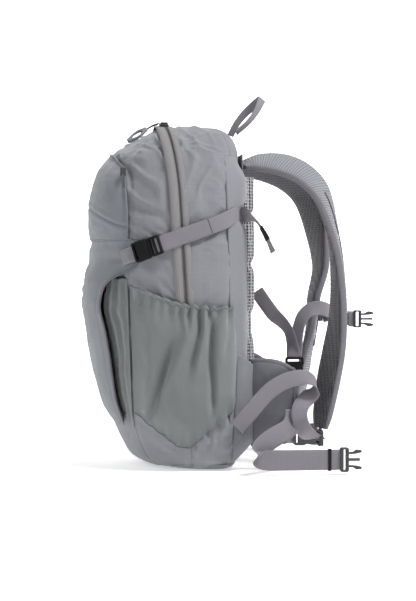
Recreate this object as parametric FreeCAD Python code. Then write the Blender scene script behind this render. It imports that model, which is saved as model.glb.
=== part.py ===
import FreeCAD, Part
import Mesh
import math
import os
from FreeCAD import Vector

# Daypack, millimetres, +Z up. +X points to the wearer's side (harness), -X is the pack's front,
# -Y is the pack's left side. The origin is the centre of the base patch that the pack stands on.

# Driving dimensions
WALL = 1.6
WEB = 20.0
HIP_WEB = 25.0
HAUL_WEB = 12.0
WEB_T = 1.5
PAD_T = 14.0
LID_Z = 287.0
ZIP_END_Z = 196.0
TOP_Z = 432.0
SEW_GAP = 0.5

# Bag profile: height, front X, back X, half width
BAG = [
    (0.0, -52.0, 34.0, 88.0), (4.0, -72.0, 42.0, 102.0), (14.0, -88.0, 45.0, 112.0),
    (32.0, -99.0, 46.0, 118.0), (60.0, -112.0, 46.5, 122.0), (96.0, -125.0, 47.0, 125.0),
    (131.0, -132.0, 47.5, 127.0), (169.0, -135.0, 48.0, 128.0), (210.0, -136.0, 48.0, 128.0),
    (250.0, -136.5, 48.0, 127.0), (287.0, -137.5, 48.0, 125.0), (315.0, -138.0, 48.0, 122.0),
    (332.0, -137.5, 48.0, 119.0), (352.0, -134.0, 48.0, 114.0), (373.0, -125.5, 48.0, 106.0),
    (396.0, -111.0, 48.0, 93.0), (410.0, -92.0, 45.0, 81.0), (421.0, -74.0, 39.0, 66.0),
    (428.0, -62.0, 31.0, 48.0), (432.0, -54.0, 22.0, 28.0),
]
# Outer outline of the bulging front stash flap: height, front X
FLAP = [
    (60.0, -114.0), (73.0, -120.5), (96.0, -128.5), (131.0, -138.0), (169.0, -146.0),
    (204.0, -150.5), (244.0, -149.0), (270.0, -144.0), (286.0, -140.5),
]
# Zip line and front seam on the side: height, X
ZIP = [
    (0.0, -20.0), (196.0, -28.0), (303.0, -34.0), (351.0, -36.3),
    (384.0, -39.0), (420.0, -43.0), (432.0, -44.0),
]
SEAM = [
    (0.0, -48.0), (14.0, -70.0), (32.0, -80.0), (60.0, -88.0), (130.0, -93.0),
    (280.0, -97.0), (310.0, -97.0), (358.0, -99.0), (384.0, -98.0), (396.0, -90.0),
    (410.0, -76.0), (421.0, -64.0), (432.0, -50.0),
]


def unit(v):
    w = Vector(v)
    w.normalize()
    return w


def lerp(table, z, col=1):
    if z <= table[0][0]:
        return table[0][col]
    for a, b in zip(table, table[1:]):
        if z <= b[0]:
            t = (z - a[0]) / (b[0] - a[0])
            return a[col] + t * (b[col] - a[col])
    return table[-1][col]


def width_at(u):
    # Share of the half width at depth share u, 0 at the back panel and 1 at the front
    if u < 0.25:
        return max(0.0, 1 - (1 - u / 0.25) ** 2.6) ** (1 / 2.6)
    return math.sqrt(max(0.0, 1 - ((u - 0.25) / 0.75) ** 2.1))


BACK_F = [0.0, 0.0012, 0.007, 0.03, 0.09, 0.2, 0.4, 0.7, 1.0]
SEAM_COL = 11
FRONT_F = [0.0, 0.22, 0.45, 0.68, 0.86, 0.965, 1.0]


def column_points(z):
    # One side's points from the back centre, by the zip (column 8) and the seam (11), to the front (17)
    xf = lerp(BAG, z, 1)
    xb = lerp(BAG, z, 2)
    hw = lerp(BAG, z, 3)
    depth = xb - xf
    uz = (xb - lerp(ZIP, z)) / depth
    us = (xb - lerp(SEAM, z)) / depth
    us = min(max(us, uz + 0.05), 0.93)
    shares = [f * uz for f in BACK_F]
    shares += [uz + (us - uz) * t for t in (1 / 3, 2 / 3, 1.0)]
    shares += [us + (1 - us) * f for f in FRONT_F[1:]]
    return [Vector(xb - depth * u, hw * width_at(u), z) for u in shares]


LAST = 17


def ring(z, lo, hi, side):
    # Columns lo..hi on one side; side -1 is the left, +1 the right
    return [Vector(p.x, side * p.y, p.z) for p in column_points(z)[lo:hi + 1]]


def span_ring(z, col, front):
    # Columns across both sides, over the front (front True) or over the back
    if front:
        left = ring(z, col, LAST, -1)
        right = ring(z, col, LAST, 1)[:-1]
        right.reverse()
        return left + right
    left = ring(z, 0, col, -1)
    left.reverse()
    return left + ring(z, 0, col, 1)[1:]


def trimmed(row, first, last):
    # The row with its end points drawn in, which leaves the gap that a seam closes
    out = list(row)
    if first:
        out[0] = row[0] + unit(row[1] - row[0]) * first
    if last:
        out[-1] = row[-1] + unit(row[-2] - row[-1]) * last
    return out


def tri_solid(tris):
    mesh = Mesh.Mesh(tris)
    mesh.removeDuplicatedPoints()
    shape = Part.Shape()
    shape.makeShapeFromMesh(mesh.Topology, 0.005)
    solid = Part.makeSolid(shape)
    if solid.Volume < 0:
        solid.reverse()
    return solid


def quad(tris, a, b, c, d):
    if (a - b).Length > 1e-6 and (b - c).Length > 1e-6 and (a - c).Length > 1e-6:
        tris.append([a, b, c])
    if (a - c).Length > 1e-6 and (c - d).Length > 1e-6 and (d - a).Length > 1e-6:
        tris.append([a, c, d])


def grid_solid(outer, inner):
    # A closed solid between two open grids of the same size
    tris = []
    rows = len(outer)
    cols = len(outer[0])
    for i in range(rows - 1):
        for j in range(cols - 1):
            quad(tris, outer[i][j], outer[i][j + 1], outer[i + 1][j + 1], outer[i + 1][j])
            quad(tris, inner[i][j], inner[i + 1][j], inner[i + 1][j + 1], inner[i][j + 1])
    for j in range(cols - 1):
        quad(tris, outer[0][j + 1], outer[0][j], inner[0][j], inner[0][j + 1])
        quad(tris, outer[-1][j], outer[-1][j + 1], inner[-1][j + 1], inner[-1][j])
    for i in range(rows - 1):
        quad(tris, outer[i][0], outer[i + 1][0], inner[i + 1][0], inner[i][0])
        quad(tris, outer[i + 1][-1], outer[i][-1], inner[i][-1], inner[i + 1][-1])
    return tri_solid(tris)


def ring_solid(rings):
    # A solid swept through equal closed rings, with flat ends
    tris = []
    n = len(rings[0])
    for a, b in zip(rings, rings[1:]):
        for j in range(n):
            k = (j + 1) % n
            quad(tris, a[j], a[k], b[k], b[j])
    for j in range(1, n - 1):
        tris.append([rings[0][0], rings[0][j + 1], rings[0][j]])
        tris.append([rings[-1][0], rings[-1][j], rings[-1][j + 1]])
    return tri_solid(tris)


def normals(grid, centre):
    rows = len(grid)
    cols = len(grid[0])
    out = []
    for i in range(rows):
        line = []
        for j in range(cols):
            du = grid[i][min(j + 1, cols - 1)] - grid[i][max(j - 1, 0)]
            dv = grid[min(i + 1, rows - 1)][j] - grid[max(i - 1, 0)][j]
            n = du.cross(dv)
            if n.Length < 1e-9:
                n = grid[i][j] - centre
            n.normalize()
            if n.dot(grid[i][j] - centre) < 0:
                n = n * -1.0
            line.append(n)
        out.append(line)
    return out


CENTRE = Vector(-40, 0, 210)


def patch(grid, outside, thick, centre=CENTRE):
    # A wall that follows a grid: its outer face stands `outside` off the grid (number or function)
    ns = normals(grid, centre)
    outer = []
    inner = []
    for i, row in enumerate(grid):
        orow = []
        irow = []
        for j, p in enumerate(row):
            off = outside(i, j, p) if callable(outside) else outside
            orow.append(p + ns[i][j] * off)
            irow.append(p + ns[i][j] * (off - thick))
        outer.append(orow)
        inner.append(irow)
    return grid_solid(outer, inner)


def levels(lo, hi):
    mid = [b[0] for b in BAG if lo + 3 < b[0] < hi - 1.5]
    return [lo] + mid + [hi]


def at_x(x, z):
    # Point on the left side of the bag at a given X
    xf = lerp(BAG, z, 1)
    xb = lerp(BAG, z, 2)
    u = (xb - x) / (xb - xf)
    return Vector(x, -lerp(BAG, z, 3) * width_at(u), z)


def out_at_x(x, z):
    # Outward direction of the bag's left side at a given X
    du = at_x(x + 1.0, z) - at_x(x - 1.0, z)
    dv = at_x(x, min(z + 2.0, TOP_Z)) - at_x(x, z - 2.0)
    n = unit(du.cross(dv))
    return n if n.y < 0 else n * -1.0


def surf(col, z, side):
    # Point on the bag's surface by fractional column and height
    c = column_points(z)
    j = min(int(col), LAST - 1)
    t = col - j
    p = c[j] + (c[j + 1] - c[j]) * t
    return Vector(p.x, side * p.y, p.z)


def ribbon(points, width, thick, face=None, across=None, strips=1):
    # Flat strap along points; `face` lists the outward direction at each point, or `across` its width way
    rings = []
    n = len(points)
    for i, p in enumerate(points):
        ahead = points[min(i + 1, n - 1)] - points[max(i - 1, 0)]
        t = unit(ahead)
        if across is not None:
            w = across[i] if isinstance(across, list) else across
            w = unit(w - t * w.dot(t))
            f = unit(t.cross(w))
        else:
            f = face[i] if isinstance(face, list) else face
            f = unit(f - t * f.dot(t))
            w = unit(f.cross(t))
        wd = width[i] if isinstance(width, list) else width
        ht = f * (thick / 2.0)
        line = [p + w * (wd * (k / strips - 0.5)) for k in range(strips + 1)]
        rings.append([q - ht for q in line] + [q + ht for q in reversed(line)])
    return ring_solid(rings)


def arc_points(a, b, c, n):
    # n+1 points on the quadratic curve from a towards b and on to c
    out = []
    for i in range(n + 1):
        t = i / n
        out.append(a * ((1 - t) ** 2) + b * (2 * t * (1 - t)) + c * (t * t))
    return out


def box(x0, x1, y0, y1, z0, z1):
    return Part.makeBox(x1 - x0, y1 - y0, z1 - z0, Vector(x0, y0, z0))


def place(shape, origin, xdir, zdir):
    # Moves a shape drawn at the origin so that its X and Z run along xdir and zdir
    x = unit(xdir)
    z = unit(zdir - x * zdir.dot(x))
    y = z.cross(x)
    m = FreeCAD.Matrix(x.x, y.x, z.x, origin.x, x.y, y.y, z.y, origin.y, x.z, y.z, z.z, origin.z, 0, 0, 0, 1)
    s = shape.copy()
    s.transformShape(m)
    return s


def mirror(shape):
    return shape.mirror(Vector(0, 0, 0), Vector(0, 1, 0))


NODES = {}


def add(name, shape):
    NODES[name] = shape


def add_pair(name, shape):
    NODES[name + "_left"] = shape
    NODES[name + "_right"] = mirror(shape)


# Bag shell
BACK_COL = 5
back_grid = [trimmed(span_ring(z, BACK_COL, False), SEW_GAP, SEW_GAP) for z in levels(8.0, TOP_Z - 0.2)]
add("back_panel", patch(back_grid, 0.0, WALL))
side_grid = [trimmed(ring(z, BACK_COL, 8, -1), SEW_GAP, 0.4) for z in levels(8.0, TOP_Z - 0.2)]
add_pair("side_panel", patch(side_grid, 0.0, WALL))
low_grid = [trimmed(span_ring(z, 8, True), 0.4, 0.4) for z in levels(8.0, LID_Z - 1.0)]


def recess(i, j, p):
    # The panel lies back behind the stash flap, which leaves the stash pocket its room
    near = min(1.0, max(0.0, (62.0 - abs(p.y)) / 30.0))
    up = min(1.0, max(0.0, (p.z - 70.0) / 50.0))
    return -6.5 * near * up


add("lower_front_panel", patch(low_grid, recess, WALL))

# Top strip behind the zip, between the two side panels
def crest_row(x):
    row = []
    for y in (-27.5, -14.0, 0.0, 14.0, 27.5):
        row.append(Vector(x, y, TOP_Z + 0.2 - (y / 28.0) ** 2 * 0.4))
    return row


crest = [crest_row(x) for x in (-33.5, -20.0, -6.0, 8.0, 21.0)]
add("top_panel", patch(crest, WALL + 0.5, WALL))

# Base: a shallow tray of heavier cloth under the bag
base_rings = []
for z in (0.0, 4.0, 7.7):
    left = ring(z, 0, LAST, -1)
    right = ring(z, 0, LAST, 1)[1:-1]
    right.reverse()
    base_rings.append(left + right)
add("base_panel", ring_solid(base_rings))

# Stiffener and the sleeve for a water bladder, both inside against the back
sheet = box(37.4, 39.0, -62.0, 62.0, 40.0, 370.0)
add("frame_sheet", sheet)
sleeve_grid = []
for z in (60.0, 150.0, 250.0, 330.0):
    row = []
    for y in (-76.0, -40.0, 0.0, 40.0, 76.0):
        row.append(Vector(30.0 - 3.0 * math.cos(math.radians(y)), y, z))
    sleeve_grid.append(row)
add("hydration_sleeve", patch(sleeve_grid, 0.0, 1.0))

# Lid: everything in front of the zip above the flap
lid_levels = levels(LID_Z + 0.3, TOP_Z)
lid_grid = [span_ring(z, 8, True) for z in lid_levels]

lid_wall = patch([[p + Vector(-1.6, 0, 0) for p in row] for row in lid_grid], 0.0, WALL)
lid_top = [crest_row(x) for x in (-54.5, -50.0, -45.6)]
add("lid_panel", lid_wall.fuse(patch(lid_top, 0.0, WALL)))
pocket_grid = [span_ring(z, SEAM_COL, True) for z in levels(LID_Z + 3.0, 398.0)]


def dome_offset(i, j, p):
    edge = min(j, len(pocket_grid[0]) - 1 - j, i, len(pocket_grid) - 1 - i)
    return 2.2 + 1.8 * min(edge, 2) / 2.0


pocket_skin = [[p + Vector(-1.6, 0, 0) for p in row] for row in pocket_grid]
add("top_pocket_panel", patch(pocket_skin, dome_offset, 1.2))

# Zip tapes: strips over the panel edges
def zip_strip(lo, hi, shift, width):
    pts = []
    faces = []
    for z in levels(lo, hi):
        x = lerp(ZIP, z) + shift
        f = out_at_x(x, z)
        faces.append(f)
        pts.append(at_x(x, z) + f * 1.5)
    if hi > 425.0:
        rise = [Vector(pts[-1].x, -21.0, TOP_Z + 1.4), Vector(pts[-1].x, -10.0, TOP_Z + 1.6)]
        pts += rise
        faces += [Vector(0, -0.3, 1), Vector(0, 0, 1)]
        back = [Vector(p.x, -p.y, p.z) for p in reversed(pts)]
        faces += [Vector(f.x, -f.y, f.z) for f in reversed(faces)]
        pts += back
    return ribbon(pts, width, 1.0, face=faces)


add("main_zip_rear_tape", zip_strip(ZIP_END_Z, 430.0, 5.0, 8.0))
add("main_zip_front_tape", zip_strip(LID_Z + 1.0, 430.0, -7.5, 8.0))
lower_zip = zip_strip(ZIP_END_Z, LID_Z - 1.5, -6.0, 8.0)
add("main_zip_lower_ends", Part.makeCompound([lower_zip, mirror(lower_zip)]))

# Main zip sliders on top and their pulls
SLIDER_X = -45.0
slider = box(-6.0, 6.0, -6.0, 6.0, 0.0, 5.5)
slider = slider.cut(box(-7.0, 7.0, -2.5, 2.5, 3.4, 4.4))
slider.translate(Vector(SLIDER_X, -9.0, TOP_Z + 2.7))
add_pair("main_zip_slider", slider)
pull_path = [Vector(-52.0, -9.0, 438.4), Vector(-60.0, -9.0, 435.6), Vector(-70.0, -9.0, 429.0),
             Vector(-71.5, -9.0, 428.0), Vector(-83.0, -9.0, 421.0), Vector(-92.5, -9.0, 414.2)]
add_pair("main_zip_pull", ribbon(pull_path, [7.0, 7.0, 7.0, 9.0, 14.0, 9.0], 2.4, across=Vector(0, 1, 0)))

# Slider and pull of the front top pocket, on the left seam
p0 = surf(SEAM_COL, 372.0, -1)
small = box(-3.5, 3.5, -3.5, 3.5, -5.0, 5.0)
small.translate(Vector(p0.x - 5.0, p0.y - 10.2, 372.0))
add("pocket_zip_slider", small)
hang = Vector(p0.x - 5.0, p0.y - 14.8, 369.0)
add("pocket_zip_pull", ribbon([hang, hang + Vector(0.2, -7.2, -16.5)], 3.4, 1.7, across=Vector(1, 0, 0)))

# Front stash flap: a bulging sheet in front of the lower panel, open at both sides
flap_grid = []
for z in (62.0, 73.0, 96.0, 131.0, 169.0, 204.0, 235.0, 256.0, 272.0, 284.0):
    xf = lerp(FLAP, z)
    if z > 250.0:
        half = 70.0 + (z - 250.0) * 0.7
    else:
        half = 58.0 - 0.05 * abs(z - 170.0)
    row = []
    for k in range(-5, 6):
        s = k / 5.0
        row.append(Vector(xf + 30.0 * (half / 92.0) ** 2 * abs(s) ** 2.2, half * s, z))
    flap_grid.append(row)
add("stash_flap", patch(flap_grid, 0.0, WALL))

# Stretch gussets that close the lower sides of the stash pocket
gus_grid = []
for z in (86.0, 120.0, 160.0, 200.0, 240.0):
    xf = lerp(FLAP, max(z, 60.0))
    half = 58.0 - 0.05 * abs(z - 170.0)
    edge = Vector(xf + 30.0 * (half / 92.0) ** 2 + 2.0, -half + 3.0, z)
    wall = surf(SEAM_COL + 0.4, z, -1)
    wall = wall + unit(Vector(wall.x + 40.0, wall.y, 0)) * 1.8
    row = []
    for k in range(5):
        t = k / 4.0
        row.append(edge + (wall - edge) * t + Vector(-3.5, -3.5, 0) * (4 * t * (1 - t)))
    gus_grid.append(row)
add_pair("stash_gusset", patch(gus_grid, 0.0, 1.0))

# Side stretch pockets, open at the top
POCKET_GAP = 14.0
pocket_rows = []
for k in range(9):
    t = k / 8.0
    row = []
    for col in (4.6, 5.0, 6.0, 7.0, 8.0, 9.0, 10.0, 10.8):
        rim = 236.0 - (10.8 - col) / 6.2 * 30.0
        z = 34.0 + t * (rim - 34.0)
        row.append(surf(col, z, -1))
    pocket_rows.append(row)


def pocket_offset(i, j, p):
    cols = len(pocket_rows[0])
    side = min(j, cols - 1 - j) / 2.0
    up = min(1.0, i / 3.0)
    return 1.9 + POCKET_GAP * min(1.0, side) * up


add_pair("side_pocket", patch(pocket_rows, pocket_offset, 1.2))

# Compression strap on each side: flap tab, socket, plug and webbing round to the back
tab_pts = [surf(12.0, 261.0, -1), surf(11.4, 263.5, -1), surf(10.75, 267.5, -1)]
tab_pts = [p + Vector(-1.5, -3.0, 0) for p in tab_pts]
tab_face = [Vector(-0.6, -0.8, 0), Vector(-0.6, -0.8, 0), Vector(-0.55, -0.85, 0)]
add_pair("flap_tab", ribbon(tab_pts, WEB, WEB_T, face=tab_face))
s0 = surf(10.55, 270.0, -1)
s1 = surf(8.8, 284.0, -1)
along = unit(s1 - s0)
out = unit(Vector(along.y, -along.x, 0))
out = out if out.y < 0 else out * -1.0
socket = box(0.0, 20.0, -12.0, 12.0, 0.0, 8.0)
socket = socket.cut(box(9.0, 21.0, -9.5, 9.5, 2.0, 6.0))
socket = socket.cut(box(2.5, 5.5, -9.0, 9.0, -1.0, 9.0))
seat = s0 + out * 6.0
add_pair("compression_socket", place(socket, seat, along, out))
plug = box(20.4, 38.0, -11.5, 11.5, 0.0, 8.0)
plug = plug.cut(box(24.0, 28.0, -10.0, 10.0, -1.0, 9.0))
plug = plug.cut(box(31.0, 34.5, -10.0, 10.0, -1.0, 9.0))
for y in (-8.6, 5.6):
    plug = plug.fuse(box(10.0, 21.0, y, y + 3.0, 2.5, 5.5))
add_pair("compression_plug", place(plug, seat, along, out))
web_pts = []
web_face = []
web_run = (
    (8.7, 285.0, 4.6), (8.0, 291.0, 4.6), (7.4, 296.0, 3.6), (6.6, 303.0, 3.6),
    (6.0, 308.5, 3.6), (5.4, 314.0, 3.6), (4.8, 318.0, 3.6), (4.1, 319.0, 3.6),
)
for col, z, off in web_run:
    p = surf(col, z, -1)
    t = surf(col + 0.05, z, -1) - surf(col - 0.05, z, -1)
    f = unit(Vector(t.y, -t.x, 0))
    f = f if f.y < 0 else f * -1.0
    web_pts.append(p + f * off)
    web_face.append(f)
web_pts += [Vector(57.0, -104.0, 316.5), Vector(66.0, -110.0, 306.0), Vector(74.0, -114.0, 291.0),
            Vector(79.0, -117.0, 271.0)]
web_face += [Vector(1, -0.6, 0.3), Vector(1, -0.5, 0.4), Vector(1, -0.5, 0.3), Vector(1, -0.5, 0.2)]
add_pair("compression_webbing", ribbon(web_pts, WEB, WEB_T, face=web_face))

# Back pads: three mesh cushions on the back panel, and the lumbar cushion below them
def cushion(x0, x1, y, z0, z1):
    rings = []
    for x, s in ((x0, 1.0), (x0 + (x1 - x0) * 0.55, 1.0), (x0 + (x1 - x0) * 0.85, 0.95), (x1, 0.84)):
        zc = (z0 + z1) / 2
        hz = (z1 - z0) / 2
        pts = []
        for k in range(24):
            a = 2 * math.pi * k / 24
            c = math.cos(a)
            q = math.sin(a)
            py = y * s * math.copysign(abs(c) ** 0.45, c)
            pz = zc + hz * s * math.copysign(abs(q) ** 0.45, q)
            pts.append(Vector(x, py, pz))
        rings.append(pts)
    return ring_solid(rings)


add("back_pad_upper", cushion(48.4, 65.0, 68.0, 319.0, 366.0))
add("back_pad_middle", cushion(48.4, 66.0, 74.0, 258.0, 317.0))
add("back_pad_lower", cushion(48.4, 66.0, 76.0, 194.0, 256.0))
add("lumbar_pad", cushion(48.4, 66.0, 80.0, 62.0, 158.0))

# Harness yoke sewn to the top of the back panel
yoke = []
for x, s in ((48.4, 1.0), (55.0, 0.97)):
    low = 70.0 * s
    high = 64.0 * s
    yoke.append([Vector(x, -low, 368), Vector(x, low, 368), Vector(x, high, 398), Vector(x, -high, 398)])
add("harness_yoke", ring_solid(yoke))

# Shoulder straps: S-shaped pads, from the yoke over the shoulder and down
STRAP_PATH = [
    (60.5, -44.0, 384.0), (72.0, -44.6, 386.5), (90.0, -49.5, 386.0), (110.0, -57.0, 381.0),
    (128.0, -63.0, 371.0), (143.0, -69.0, 355.0), (153.0, -74.0, 334.0), (160.0, -79.0, 303.0),
    (165.5, -83.0, 266.0), (168.0, -86.0, 223.0), (166.5, -89.0, 185.0), (161.5, -91.0, 148.0),
    (154.0, -92.0, 108.0), (147.5, -92.0, 70.0), (144.5, -92.0, 51.0),
]
ROLL = [0, 12, 20, 22, 22, 20, 15, 8, 3, 0, -6, -14, -20, -22, -20]
STRAP_W = [52, 56, 60, 62, 62, 62, 62, 62, 62, 60, 58, 54, 46, 36, 30]
strap_pts = [Vector(*p) for p in STRAP_PATH]
strap_across = []
for i, p in enumerate(strap_pts):
    t = unit(strap_pts[min(i + 1, len(strap_pts) - 1)] - strap_pts[max(i - 1, 0)])
    side = unit(Vector(0, 1, 0) - t * t.y)
    face = unit(t.cross(side))
    a = math.radians(ROLL[i])
    strap_across.append(side * math.cos(a) + face * math.sin(a))
add_pair("shoulder_pad", ribbon(strap_pts, STRAP_W, PAD_T, across=strap_across, strips=4))

# Webbing rail on the strap's outer face, which the sternum slider rides on
rail_pts = []
for i in range(7, 12):
    t = unit(strap_pts[i + 1] - strap_pts[i - 1])
    f = unit(strap_across[i].cross(t))
    if f.x < 0:
        f = f * -1.0
    rail_pts.append(strap_pts[i] + f * (PAD_T / 2 + 1.6))
add_pair("sternum_rail", ribbon(rail_pts, 14.0, 1.6, across=strap_across[7:12]))
keeper = box(0.0, 4.0, -11.0, 11.0, -8.0, 8.0)
keeper = keeper.cut(box(-1.0, 1.9, -8.3, 8.3, -9.0, 9.0))
keeper.translate(Vector(175.2, -87.5, 188.0))
add_pair("sternum_slider", keeper)

# Sternum half straps: the left one stands out to the rear with the plug; the right one has dropped inside
# its shoulder strap, with the socket at the bottom of the loop and the spare webbing running on from it
st_left = [Vector(180.2, -87.5, 188.0), Vector(183.5, -87.8, 188.0), Vector(187.0, -88.2, 188.0)]
add("sternum_webbing_left", ribbon(st_left, WEB, WEB_T, across=Vector(0, 0, 1)))
frame = box(0.0, 9.0, -3.0, 3.0, -11.0, 11.0)
frame = frame.cut(box(2.5, 6.5, -4.0, 4.0, -9.0, 9.0))
frame = frame.fuse(box(8.0, 26.0, -2.0, 2.0, 6.5, 9.5))
frame = frame.fuse(box(8.0, 26.0, -2.0, 2.0, -9.5, -6.5))
frame = frame.fuse(box(8.0, 19.0, -1.5, 1.5, -1.2, 1.2))
frame.translate(Vector(187.3, -88.5, 188.0))
add("sternum_plug", frame)
st_pts = [Vector(181.4, 86.0, 188.0), Vector(184.0, 78.0, 189.0), Vector(185.5, 68.0, 190.5),
          Vector(185.0, 57.0, 193.0), Vector(179.5, 48.0, 196.0), Vector(168.5, 43.0, 199.0),
          Vector(156.0, 42.0, 197.0), Vector(146.5, 42.5, 189.0), Vector(141.0, 43.0, 177.0),
          Vector(138.0, 43.0, 163.0), Vector(136.0, 43.0, 149.0), Vector(134.5, 43.0, 134.0)]
st_across = [Vector(0, 0, 1)] * 6 + [Vector(-0.4, 0, 1), Vector(-1, 0, 0.8), Vector(-1, 0, 0.35)]
st_across += [Vector(-1, 0, 0.15), Vector(-1, 0, 0), Vector(-1, 0, 0)]
st_right = ribbon(st_pts, WEB, WEB_T, across=st_across)
spare = [Vector(134.0, 44.2, 134.5), Vector(131.5, 44.4, 152.0), Vector(127.0, 44.8, 168.0),
         Vector(118.0, 45.4, 180.0), Vector(107.0, 46.0, 190.0), Vector(95.0, 46.6, 206.0),
         Vector(84.0, 47.2, 222.0)]
spare_across = [Vector(-1, 0, 0), Vector(-1, 0, -0.2), Vector(-0.9, 0, -0.5), Vector(-0.7, 0, -0.8)]
spare_across += [Vector(-0.7, 0, -0.7), Vector(-0.8, 0, -0.6), Vector(-0.8, 0, -0.55)]
st_right = st_right.fuse(ribbon(spare, WEB, WEB_T, across=spare_across))
add("sternum_webbing_right", st_right)
sock = box(-12.0, 12.0, -3.5, 3.5, -24.0, 0.0)
sock = sock.cut(box(-9.8, 9.8, -1.8, 1.8, -25.0, -8.0))
sock = sock.cut(box(-9.8, 9.8, -5.0, 5.0, -6.0, -3.0))
sock.translate(Vector(134.5, 43.5, 132.4))
add("sternum_socket", sock)

# Ladder lock at each strap's lower end
lock = box(-4.0, 4.0, -12.5, 12.5, 0.0, 20.0)
lock = lock.cut(box(-5.0, 5.0, -10.5, 10.5, 2.5, 6.0))
lock = lock.cut(box(-5.0, 5.0, -10.5, 10.5, 9.0, 12.0))
lock = lock.cut(box(-5.0, 5.0, -10.5, 10.5, 15.0, 18.0))
lock.translate(Vector(143.5, -92.0, 29.0))
add_pair("ladder_lock", lock)

# Lower adjuster: triangular anchor tab and the webbing that arcs to the ladder lock
tab = Part.makePolygon([Vector(30, 0, 40), Vector(50, 0, 88), Vector(58, 0, 80), Vector(30, 0, 40)])
tab = Part.Face(tab).extrude(Vector(0, 2.0, 0))
tab.translate(Vector(4, -127.4, 0))
add_pair("adjuster_anchor", tab)
adj = [
    Vector(56.0, -129.4, 79.0), Vector(64.0, -130.0, 88.0), Vector(76.0, -130.5, 100.0),
    Vector(92.0, -130.5, 109.0), Vector(108.0, -130.0, 114.0), Vector(122.0, -127.0, 114.0),
    Vector(131.0, -119.0, 107.0), Vector(131.5, -109.0, 94.0), Vector(127.0, -101.0, 79.0),
    Vector(126.5, -96.0, 62.0), Vector(132.5, -93.0, 48.0),
]
adj_across = [Vector(-0.5, 0, 0.85)] * 3
adj_across += [Vector(-0.35, 0.2, 0.9), Vector(-0.1, 0.5, 0.8), Vector(0.1, 0.8, 0.5)]
adj_across += [Vector(0, 1, 0.2)]
adj_across += [Vector(0, 1, 0)] * 4
add_pair("adjuster_webbing", ribbon(adj, WEB, WEB_T, across=adj_across))

# Hip wings with their webbing and buckle halves
wing_rings = []
for x, y, z0, z1, th in ((56.0, -98.0, 32.0, 136.0, 9.0), (66.0, -105.0, 34.0, 137.0, 11.0),
                         (80.0, -112.0, 42.0, 136.0, 11.0), (94.0, -116.0, 54.0, 132.0, 10.0),
                         (106.0, -118.0, 66.0, 124.0, 8.0)):
    wing_rings.append([Vector(x, y - th / 2, z0), Vector(x, y + th / 2, z0), Vector(x, y + th / 2, z1),
                       Vector(x, y - th / 2, z1)])
add_pair("hip_wing", ring_solid(wing_rings))
hip = [
    Vector(104.0, -125.5, 76.0), Vector(96.0, -130.0, 62.0), Vector(84.0, -139.0, 49.0),
    Vector(70.0, -149.0, 37.0), Vector(59.0, -158.0, 26.0), Vector(62.0, -165.0, 20.0),
    Vector(76.0, -167.7, 18.8), Vector(110.0, -168.0, 18.8), Vector(140.0, -168.0, 18.8),
    Vector(154.0, -168.0, 18.8),
]
add_pair("hip_webbing", ribbon(hip, HIP_WEB, WEB_T, face=Vector(0, -1, 0)))
hp = box(0.0, 10.0, -4.0, 4.0, -15.0, 15.0)
hp = hp.cut(box(3.0, 7.0, -5.0, 5.0, -12.7, 12.7))
hp = hp.fuse(box(9.0, 27.0, -2.5, 2.5, 9.0, 13.0))
hp = hp.fuse(box(9.0, 27.0, -2.5, 2.5, -13.0, -9.0))
hp = hp.fuse(box(9.0, 25.0, -1.5, 1.5, -2.0, 2.0))
hp.translate(Vector(154.4, -168.0, 18.8))
add("hip_plug", hp)
hs = box(0.0, 34.0, -5.0, 5.0, -15.5, 15.5)
hs = hs.cut(box(12.0, 35.0, -3.0, 3.0, -13.2, 13.2))
hs = hs.cut(box(3.0, 7.0, -6.0, 6.0, -12.7, 12.7))
hs.translate(Vector(154.4, 168.0, 18.8))
add("hip_socket", hs)

# Haul loop at the top of the back
haul_rise = unit(Vector(38.0, 0, 47.0))
haul_cross = Vector(haul_rise.z, 0, -haul_rise.x)
haul = []
for k in range(17):
    a = math.pi * k / 16
    r = math.sin(a)
    haul.append(Vector(46.0, -28.0 * math.cos(a), 426.0) + haul_rise * (59.0 * r ** 0.85))
add("haul_loop", ribbon(haul, HAUL_WEB, 2.2, across=haul_cross))

os.makedirs("parts", exist_ok=True)
for name, shape in NODES.items():
    if not shape.isValid():
        print("INVALID", name)
    shape.exportStep("parts/" + name + ".step")
print(len(NODES), "nodes")
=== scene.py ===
import bpy
import bmesh
import math
import numpy as np
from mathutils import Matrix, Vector, noise


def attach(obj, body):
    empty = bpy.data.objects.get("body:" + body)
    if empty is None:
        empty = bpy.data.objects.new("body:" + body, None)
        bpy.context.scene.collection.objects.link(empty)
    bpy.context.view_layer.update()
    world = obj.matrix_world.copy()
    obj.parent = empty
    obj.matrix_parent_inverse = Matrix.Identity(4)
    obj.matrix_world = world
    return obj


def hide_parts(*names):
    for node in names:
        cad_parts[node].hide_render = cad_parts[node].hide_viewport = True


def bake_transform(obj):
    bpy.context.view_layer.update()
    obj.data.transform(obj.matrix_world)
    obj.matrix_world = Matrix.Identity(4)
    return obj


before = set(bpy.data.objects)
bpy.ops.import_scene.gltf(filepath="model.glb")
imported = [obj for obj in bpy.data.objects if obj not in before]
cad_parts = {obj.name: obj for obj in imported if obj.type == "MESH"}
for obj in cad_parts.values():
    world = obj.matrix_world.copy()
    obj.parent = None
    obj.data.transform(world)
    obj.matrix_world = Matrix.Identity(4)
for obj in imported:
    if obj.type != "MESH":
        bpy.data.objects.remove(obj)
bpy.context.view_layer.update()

MM = 0.001
SIDES = ((-1, "left"), (1, "right"))
X_DIR, Y_DIR, Z_DIR = np.array([1.0, 0, 0]), np.array([0, 1.0, 0]), np.array([0, 0, 1.0])
NEG_Y = np.array([0, -1.0, 0])
OTHER_SIDE = np.array([1, -1, 1])

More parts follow.
